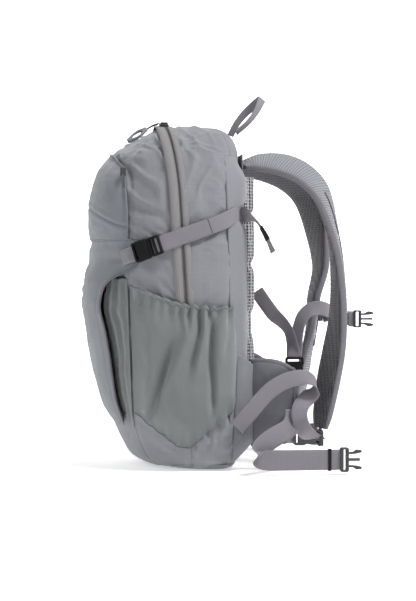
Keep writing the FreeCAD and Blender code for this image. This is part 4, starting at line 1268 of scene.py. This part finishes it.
for side, tag in SIDES:
    pts, acr = strap_axes()
    n, around = 150, 48
    p, total = spline(np.hstack([pts, acr, np.array(STRAP_W, float)[:, None]]), n)
    verts, uv, frames = [], [], []
    for i in range(n):
        t = tangent(p, i)
        a = unit(p[i, 3:6] - t * (p[i, 3:6] @ t))
        f = unit(np.cross(t, a))
        frames.append((p[i, :3], t, a, f, p[i, 6]))
        end = min(1.0, 0.35 + min(i, n - 1 - i) / 10.0)
        w = p[i, 6] / 2 - 0.8
        ripple = 0.25 * math.sin(total * i / n)
        for k in range(around):
            ang = 2 * math.pi * k / around
            x, y = math.cos(ang), math.sin(ang)
            px = squared(x, 0.55) * w
            py = squared(y, 0.6) * (6.6 * end + 0.5 * (1 - (px / w) ** 2))
            py += ripple * (1 if abs(y) > 0.3 else 0)
            verts.append(p[i, :3] + a * px + f * py)
            uv.append((px * MM, total * i / (n - 1) * MM))
    faces = tube_faces(n, around)
    outer_sign = 1.0 if frames[60][3][0] > 0 else -1.0
    mats = two_sided(n, around, outer_sign)
    if side > 0:
        verts, faces = leaning(verts, faces)
    pad = make("shoulder_pad_foam_" + tag, verts, faces, [RIBBED, MESH_DARK], "shoulder_strap_" + tag, uv=uv,
               face_mats=mats, replaces=["shoulder_pad_" + tag])
    recalc(pad)
    for sgn, edge in ((-1, "a"), (1, "b")):
        verts, uv = [], []
        for i, fr in enumerate(frames):
            end = min(1.0, 0.45 + min(i, n - 1 - i) / 10.0)
            centre = fr[0] + fr[2] * sgn * (fr[4] / 2 - 0.9)
            for k in range(12):
                w = 2 * math.pi * k / 12
                verts.append(centre + fr[3] * math.cos(w) * 3.9 * end + fr[2] * math.sin(w) * 1.9)
                uv.append((k * 0.001, total * i / n * MM))
        faces = tube_faces(n, 12)
        if side > 0:
            verts, faces = leaning(verts, faces)
        recalc(make("strap_binding_%s_%s" % (edge, tag), verts, faces, PIPING, "shoulder_strap_" + tag, uv=uv))
    # Webbing rail, bar-tacked to the outer face
    rail = [fr[0] + fr[3] * outer_sign * 8.2 for fr in frames[42:118:4]]
    racr = [fr[2] for fr in frames[42:118:4]]
    webbing("sternum_rail_web_" + tag, rail, 14.0, 1.6, racr, WEBBING, "shoulder_strap_" + tag, 80, side,
            ["sternum_rail_" + tag])
    # Lower tape that holds the ladder lock
    low = [frames[-14][0] + frames[-14][3] * outer_sign * 7.0, frames[-6][0] + frames[-6][3] * outer_sign * 5.0,
           np.array([143.9, -92.0, 50.0]), np.array([143.5, -92.0, 45.5])]
    webbing("ladder_tape_" + tag, low, 20.0, 1.4, [Y_DIR] * 4, WEBBING,
            "shoulder_strap_" + tag, 20, side)
    # Ladder lock
    outline = [(-12.4, 1.0), (-10.5, 0.0), (10.5, 0.0), (12.4, 1.0), (12.4, 17.5), (10.5, 19.8), (-10.5, 19.8),
               (-12.4, 17.5)]
    holes = [rr(-10.2, 10.2, 2.6, 6.0, 1.0), rr(-10.2, 10.2, 9.0, 12.2, 1.0), rr(-10.2, 10.2, 15.0, 17.8, 1.0)]
    parts = [outline_plate(outline, holes, -2.6, 2.6, 0.9), rounded_box(-11.0, 11.0, -0.1, 2.8, -3.6, 1.2, 0.9)]
    hard("ladder_lock_part_" + tag, parts, (143.5, -92.0, 29.0), Y_DIR, Z_DIR, X_DIR, GREY,
         "shoulder_strap_" + tag, side, ["ladder_lock_" + tag], "grey_plastic")
    # Sternum slider: a keeper that clips over the rail
    parts = [outline_plate(rr(-10.8, 10.8, -7.8, 7.8, 2.0), [rr(-7.5, 7.5, -2.0, 2.0, 1.0)], 1.6, 3.2, 0.5),
             rounded_box(-10.8, -8.0, -7.6, 7.6, -3.0, 3.0, 0.8), rounded_box(8.0, 10.8, -7.6, 7.6, -3.0, 3.0, 0.8),
             rounded_box(-10.0, -8.2, 4.4, 7.6, -3.1, -1.9, 0.5), rounded_box(8.2, 10.0, 4.4, 7.6, -3.1, -1.9, 0.5)]
    hard("sternum_keeper_part_" + tag, parts, (176.0, -87.5, 188.0), Y_DIR, Z_DIR, X_DIR, GREY,
         "sternum_keeper_" + tag, side, ["sternum_slider_" + tag], "grey_plastic")

# Sternum strap halves
st = [(180.2, -87.5, 188.0), (182.5, -87.7, 188.1), (185.0, -88.0, 187.9), (189.5, -88.4, 188.0)]
webbing("sternum_web_left", st, 19.6, 1.5, [Z_DIR] * 4, WEBBING, "sternum_strap_left", 20, -1, ["sternum_webbing_left"])
FACING_LEFT = (X_DIR, Z_DIR, NEG_Y)
frame_outline = rr(0, 9.5, -11.0, 11.0, 1.8)
prong = [(8.5, 6.8), (14.0, 7.2), (18.5, 9.6), (24.0, 9.0), (26.0, 6.8), (22.0, 5.4), (16.0, 4.8), (8.5, 4.5)]
other_prong = [(x, -y) for x, y in reversed(prong)]
parts = [outline_plate(frame_outline, [rr(2.6, 6.6, -9.0, 9.0, 1.0)], -3.0, 3.0, 0.9),
         outline_plate(prong, [], -2.0, 2.0, 0.7), outline_plate(other_prong, [], -2.0, 2.0, 0.7),
         rounded_box(8.5, 24.0, -1.3, 1.3, -1.4, 1.4, 0.5)]
hard("sternum_plug_part", parts, (187.3, -88.5, 188.0), *FACING_LEFT, GREY, "sternum_strap_left", -1, ["sternum_plug"],
     "grey_plastic")
st = [(181.4, 86.0, 188.0), (184.0, 78.0, 189.0), (185.5, 68.0, 190.5), (185.0, 57.0, 193.0), (179.5, 48.0, 196.0),
      (168.5, 43.0, 199.0), (156.0, 42.0, 197.0), (146.5, 42.5, 189.0), (141.0, 43.0, 177.0), (138.0, 43.0, 163.0),
      (136.0, 43.0, 149.0), (134.5, 43.0, 133.0)]
acr = [(0, 0, 1)] * 6 + [(-0.4, 0.5, 1), (-1, 0.9, 0.8), (-1, 1.0, 0.35), (-1, 0.9, 0.15), (-1, 0.5, 0), (-1, 0, 0)]
webbing("sternum_web_right", st, 19.0, 1.5, acr, WEBBING, "sternum_strap_right", 90, -1, ["sternum_webbing_right"])
st = [(134.0, 45.0, 133.0), (131.5, 45.0, 152.0), (127.0, 45.2, 168.0), (118.0, 45.6, 180.0), (107.0, 46.0, 190.0),
      (95.0, 46.6, 206.0), (84.0, 47.2, 222.0)]
acr = [(-1, 0.2, 0), (-1, 1.1, -0.2), (-0.9, 1.4, -0.5), (-0.7, 0.9, -0.8), (-0.7, 0.4, -0.7), (-0.8, 0.4, -0.6),
       (-0.8, 0.4, -0.55)]
webbing("sternum_spare_web", st, 19.0, 1.5, acr, WEBBING, "sternum_strap_right", 60, -1, ["sternum_webbing_right"])
sock_outline = both_halves([(0, -10.5), (2, -12), (9, -12), (13, -10.6), (17, -11.6), (24, -12)])
parts = [outline_plate(sock_outline, [rr(3.0, 6.0, -9.6, 9.6, 1.0)], 1.6, 3.5, 0.5),
         outline_plate(sock_outline, [rr(3.0, 6.0, -9.6, 9.6, 1.0)], -3.5, -1.6, 0.5),
         rounded_box(0.3, 2.2, -11.0, 11.0, -2.6, 2.6, 0.5), rounded_box(7.0, 10.0, -9.8, 9.8, -2.6, 2.6, 0.5),
         *box_pair(19.0, 23.8, 9.6, 11.9, -2.6, 2.6, 0.5)]
hard("sternum_socket_part", parts, (134.5, 43.5, 133.6), np.array([0, 0, -1.0]), X_DIR, NEG_Y, BLACK,
     "sternum_strap_right", -1, ["sternum_socket"], "grey_plastic")

# ---------------------------------------------------------------- lower adjusters
for side, tag in SIDES:
    adj = [(33.0, -128.6, 55.0), (40.0, -130.6, 63.0), (48.0, -131.0, 72.5), (64.0, -130.5, 91.0),
           (76.0, -130.5, 102.5),
           (92.0, -130.5, 112.0), (108.0, -130.0, 116.5), (122.0, -127.5, 116.5), (132.5, -122.0, 110.0),
           (132.0, -119.0, 99.0), (123.0, -122.0, 91.5), (114.5, -128.0, 84.0), (110.5, -131.0, 74.0),
           (112.0, -131.0, 62.0), (119.0, -123.0, 50.0), (130.0, -105.0, 41.5), (143.0, -92.0, 38.0)]
    acr = [(-0.7, 0, 0.7), (-0.7, 0, 0.75), (-0.62, 0, 0.78), (-0.55, 0, 0.8), (-0.5, 0, 0.85), (-0.3, 0.1, 0.92),
           (-0.05, 0.25, 0.95), (0.1, 0.6, 0.8), (0.2, 0.9, 0.5), (-0.3, 0.8, 0.6), (-0.5, 0.3, 0.8), (-0.75, 0.2, 0.6),
           (-1.0, 0.1, 0.1), (-1.0, 0.1, -0.25), (-0.8, 0.2, -0.6), (-0.5, 0.7, -0.5), (-0.1, 1.0, -0.1)]
    obj, _ = webbing("adjuster_web_" + tag, adj, 20.0, 1.4, acr, WEBBING, None, 120, side, ["adjuster_webbing_" + tag])
    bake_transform(obj)
    tri = [(33.0, 38.0), (36.0, 36.0), (60.0, 76.0), (50.0, 90.0), (47.0, 88.0), (30.0, 56.0)]
    hard("adjuster_anchor_tab_" + tag, [outline_plate(tri, [], -1.0, 1.0, 0.6)], (0, -127.2, 0), *FACING_LEFT,
         FOAM_CLOTH, "pack", side, ["adjuster_anchor_" + tag], "webbing")

# ---------------------------------------------------------------- hip belt
for side, tag in SIDES:
    sections = [(56.0, -98.0, 32.0, 136.0, 9.0), (66.0, -105.0, 34.0, 137.0, 11.0), (80.0, -112.0, 42.0, 136.0, 11.0),
                (94.0, -116.0, 54.0, 132.0, 10.0), (106.0, -118.0, 66.0, 124.0, 8.0)]
    n, around = 40, 48
    p, total = spline([(x, y, 0, z0, z1, th) for x, y, z0, z1, th in sections], n)
    verts, uv = [], []
    for i in range(n):
        x, y, _, z0, z1, th = p[i]
        f = unit(np.cross(tangent(p, i), Z_DIR))
        f = f if f[1] < 0 else -f
        zc, hz = (z0 + z1) / 2, (z1 - z0) / 2 - 0.8
        end = min(1.0, 0.4 + min(i, n - 1 - i) / 4.0)
        for k in range(around):
            ang = 2 * math.pi * k / around
            cx, cy = math.cos(ang), math.sin(ang)
            pz = squared(cx, 0.5) * hz
            pf = squared(cy, 0.6) * (th / 2 - 0.3) * end
            q = np.array([x, y, zc + pz]) + f * pf
            q += f * (fbm(q, 0.03, 2.0 + side, 2) * 0.8)
            # Quilted line along the wing
            q -= f * math.copysign(0.9, cy) * bump(pz, 12.0 - i * 0.2, 2.0) * (1 if abs(cy) > 0.3 else 0)
            verts.append(q)
            uv.append((pz * MM, total * i / n * MM))
    faces = tube_faces(n, around)
    if side > 0:
        verts, faces = mirrored(verts, faces)
    wing = make("hip_wing_pad_" + tag, verts, faces, [FOAM_CLOTH, MESH_DARK], "hip_belt_" + tag, uv=uv,
                face_mats=two_sided(n, around), replaces=["hip_wing_" + tag])
    recalc(wing)
    root = np.zeros((40, 14, 3))
    for i, h in enumerate(np.linspace(0, 1, 40)):
        lo = np.array([30.0 + 6.0 * h, -113.0 + 2.0 * h, 10.0 + 138.0 * h])
        hi = np.array([57.0, -103.5, 36.0 + 96.0 * h])
        for j, k in enumerate(np.linspace(0, 1, 14)):
            q = lo * (1 - k) + hi * k
            q[1] -= 3.2 * math.sin(math.pi * k) + fbm(q, 0.04, 3.0 + side, 2) * 0.8
            root[i, j] = q
    cloth("wing_root_" + tag, root if side < 0 else root * OTHER_SIDE, MAIN, "pack", 1.3)
    rim = [np.array([q[0], q[1], q[4]]) for q in p] + [np.array([p[-1][0] + 1.5, p[-1][1], z]) for z in
                                                         np.linspace(p[-1][4] - 6, p[-1][3] + 6, 8)]
    rim += [np.array([q[0], q[1], q[3]]) for q in p[::-1]]
    rim, _ = spline(rim[::3], 120)
    vv, ff = tube(rim, 3.0, 10)
    if side > 0:
        vv, ff = mirrored(vv, ff)
    make("wing_binding_" + tag, vv, ff, PIPING, "hip_belt_" + tag, uv=uv_of(vv, 0, 2))
    hip = [(106.0, -124.8, 78.0), (106.0, -125.8, 69.0), (103.0, -127.5, 60.5), (96.0, -132.0, 53.5),
           (86.0, -141.0, 49.0),
           (73.0, -150.5, 43.5), (60.5, -158.5, 35.5), (54.0, -164.0, 27.5), (56.5, -167.2, 21.5), (67.0, -168.0, 19.0),
           (85.0, -168.0, 18.8), (120.0, -168.0, 18.8), (158.8, -168.0, 18.8)]
    acr = [(-1, 0, 0.1), (-0.95, 0, 0.4), (-0.7, 0, 0.75), (-0.4, 0, 1), (-0.32, 0, 1), (-0.4, 0, 1),
           (-0.45, -0.1, 0.95),
           (-0.3, 0, 1), (-0.05, 0, 1), (0, 0, 1), (0, 0, 1), (0, 0, 1), (0, 0, 1)]
    webbing("hip_web_" + tag, hip, 25.0, 1.5, acr, WEBBING, "hip_belt_" + tag, 140, side, ["hip_webbing_" + tag])
    stub = [rounded_box(-2.0, 2.0, -13.6, 13.6, -2.2, 2.2, 0.8)]
    hard("hip_web_bar_" + tag, stub, (141.5, -168.0, 18.8), *FACING_LEFT, BLACK, "hip_belt_" + tag, side,
         slot="grey_plastic")

prong = [(9.0, 9.0), (16.0, 9.6), (20.0, 12.2), (26.0, 11.6), (27.0, 9.0), (22.0, 7.6), (16.0, 6.8), (9.0, 6.6)]
other_prong = [(x, -y) for x, y in reversed(prong)]
parts = [outline_plate(rr(0, 10.5, -15.0, 15.0, 2.4), [rr(3.0, 7.0, -12.6, 12.6, 1.2)], -4.0, 4.0, 1.1),
         outline_plate(prong, [], -2.6, 2.6, 0.8), outline_plate(other_prong, [], -2.6, 2.6, 0.8),
         rounded_box(9.5, 24.5, -1.8, 1.8, -1.6, 1.6, 0.6)]
hard("hip_plug_part", parts, (154.4, -168.0, 18.8), *FACING_LEFT, GREY, "hip_belt_left", -1,
     ["hip_plug"], "grey_plastic")
sock_outline = both_halves([(0, -13.5), (2.5, -15.4), (14, -15.5), (19, -13.6), (25, -14.8), (34, -15.3)])
parts = [outline_plate(sock_outline, [rr(3.2, 6.8, -12.6, 12.6, 1.2)], 2.8, 5.0, 0.6),
         outline_plate(sock_outline, [rr(3.2, 6.8, -12.6, 12.6, 1.2)], -5.0, -2.8, 0.6),
         rounded_box(0.4, 2.6, -14.0, 14.0, -3.6, 3.6, 0.6), rounded_box(8.0, 12.0, -13.0, 13.0, -3.6, 3.6, 0.6),
         *box_pair(27.0, 33.8, 13.0, 15.2, -3.6, 3.6, 0.6)]
hard("hip_socket_part", parts, (154.4, 168.0, 18.8), X_DIR, Z_DIR, Y_DIR, GREY, "hip_belt_right", -1,
     ["hip_socket"], "grey_plastic")

# ---------------------------------------------------------------- haul loop
rise = unit(np.array([38.0, 0, 47.0]))
cross = np.array([rise[2], 0, -rise[0]])
loop, acr = [], []
for k in range(17):
    a = math.pi * k / 16
    r = math.sin(a)
    spread = -4.5 * math.cos(a) * math.sin(math.pi * min(1.0, r * 1.05)) ** 0.7
    loop.append(np.array([46.0, -28.0 * math.cos(a), 426.0]) + rise * (59.0 * r ** 0.85) - cross * spread)
    roll = math.radians(58.0 * math.cos(a))
    lie = unit(np.array([0.0, 1.0, 0.0]) + cross * 0.01)
    acr.append(cross * math.cos(roll) + lie * math.sin(roll) * (1.0 if k < 8 else 0.75))
webbing("haul_web", loop, 12.0, 2.2, acr, WEBBING, "haul", 110, -1, ["haul_loop"])

# ---------------------------------------------------------------- zip sliders and pulls
for side, tag in SIDES:
    plate = [(-5.8, -4), (-3, -6), (3, -6), (5.8, -4), (5.8, 4), (3, 5.4), (-3, 5.4), (-5.8, 4)]
    parts = [outline_plate(plate, [], 0.0, 2.2, 0.5),
             rounded_box(-4.8, 4.8, -1.6, 1.6, 3.6, 5.4, 0.6), rounded_box(-4.8, -3.0, -1.6, 1.6, 1.5, 4.8, 0.5),
             rounded_box(3.0, 4.8, -1.6, 1.6, 1.5, 4.8, 0.5)]
    hard("zip_slider_part_" + tag, parts, (-45.0, -9.0, 434.7), X_DIR, Y_DIR, Z_DIR, METAL, "zip_slider_" + tag, side,
         ["main_zip_slider_" + tag], "zip_metal")
    path = [(-51.9, -9.0, 438.4), (-60.0, -9.0, 435.6), (-70.0, -9.0, 429.4)]
    webbing("zip_pull_strip_" + tag, path, 5.0, 1.8, [Y_DIR] * 3, METAL, "zip_pull_" + tag, 16, side)
    d = unit(np.array([-92.5, 0, 414.2]) - np.array([-68.0, 0, 430.2]))
    outer = both_halves([(0, -3.5), (3, -4.5), (10, -7.4), (17, -7.4), (25, -4.6), (28.0, -3.2)])
    inner = both_halves([(7, -2.4), (11, -4.6), (17, -4.6), (22, -2.6)])
    zd = unit(np.cross(d, (0, 1.0, 0)))
    zd = zd if zd[2] > 0 else -zd
    turn = math.radians(32.0)
    yd = Y_DIR * math.cos(turn) + zd * math.sin(turn)
    zd = unit(np.cross(d, yd))
    hard("zip_pull_loop_" + tag, [outline_plate(outer, [inner], -1.5, 1.5, 0.7)], (-67.5, -10.0, 431.6), d, yd, zd,
         PALE, "zip_pull_" + tag, side, ["main_zip_pull_" + tag], "pull_rubber")

# ---------------------------------------------------------------- stitching
def stitch(name, col, off, zs, body, shift=0.0):
    # Stitches along one column of the bag, and their mirror image
    v, f = dashes(np.array([on_bag(col, z, off) + shift for z in zs]), np.array([bag_normal(col, z) for z in zs]))
    v, f = join([(v, f), mirrored(v, f)])
    make(name, v, f, THREAD, body, uv=[(0.0, 0.0)] * len(v))


for letter, gap in (("a", -0.22), ("b", 0.22)):
    stitch("front_seam_stitch_" + letter, SEAM_C + gap, 0.5, np.linspace(240, 284, 12), "pack")
stitch("top_pocket_stitch", 11.25, 3.2, np.linspace(292, 370, 24), "lid", LID_SHIFT)

# ---------------------------------------------------------------- stage, lights, camera
def stage_sheet(name, corners, tone, rough, glow):
    mesh = bpy.data.meshes.new(name)
    mesh.from_pydata(corners, [], [(0, 1, 2, 3)])
    obj = bpy.data.objects.new(name, mesh)
    bpy.context.scene.collection.objects.link(obj)
    m, _, s = material(name + "_white")
    s.inputs["Base Color"].default_value = (tone, tone, tone, 1)
    s.inputs["Roughness"].default_value = rough
    s.inputs["Emission Color"].default_value = (1, 1, 1, 1)
    s.inputs["Emission Strength"].default_value = glow
    mesh.materials.append(m)


stage_sheet("floor", [(-6, -6, 0), (6, -6, 0), (6, 6, 0), (-6, 6, 0)], 0.9, 0.9, 0.42)
stage_sheet("backdrop", [(-6, 2.6, 0), (6, 2.6, 0), (6, 2.6, 5), (-6, 2.6, 5)], 0.95, 1.0, 0.95)
world = bpy.data.worlds.new("studio")
bpy.context.scene.world = world
world.use_nodes = True
world.node_tree.nodes["Background"].inputs[0].default_value = (1, 1, 1, 1)
world.node_tree.nodes["Background"].inputs[1].default_value = 0.2


def area(name, loc, target, size, power):
    light = bpy.data.lights.new(name, "AREA")
    light.energy = power
    light.size = size
    obj = bpy.data.objects.new(name, light)
    obj.location = loc
    obj.rotation_euler = (Vector(target) - Vector(loc)).to_track_quat("-Z", "Y").to_euler()
    bpy.context.scene.collection.objects.link(obj)


area("key", (1.1, -0.95, 2.3), (0, 0, 0.22), 0.6, 66)
area("side", (-1.9, -0.9, 1.2), (0, 0, 0.22), 0.8, 9)

SENSOR, IMAGE_HEIGHT, METRES_PER_PIXEL = 36.0, 601, 0.0013
AZIMUTH, ELEVATION, DISTANCE = math.radians(-7.0), math.radians(1.0), 2.3
target = Vector((0.013, 0.0, 0.210))
cam = bpy.data.cameras.new("camera")
cam.sensor_width = SENSOR
cam.lens = SENSOR * DISTANCE / (IMAGE_HEIGHT * METRES_PER_PIXEL)
cam.sensor_fit = "AUTO"
cam.clip_end = 50.0
cam_obj = bpy.data.objects.new("camera", cam)
level = math.cos(ELEVATION)
cam_obj.location = target + DISTANCE * Vector((math.sin(AZIMUTH) * level, -math.cos(AZIMUTH) * level,
                                               math.sin(ELEVATION)))
cam_obj.rotation_euler = (target - cam_obj.location).to_track_quat("-Z", "Y").to_euler()
bpy.context.scene.collection.objects.link(cam_obj)
bpy.context.scene.camera = cam_obj
bpy.context.scene.view_settings.view_transform = "Standard"
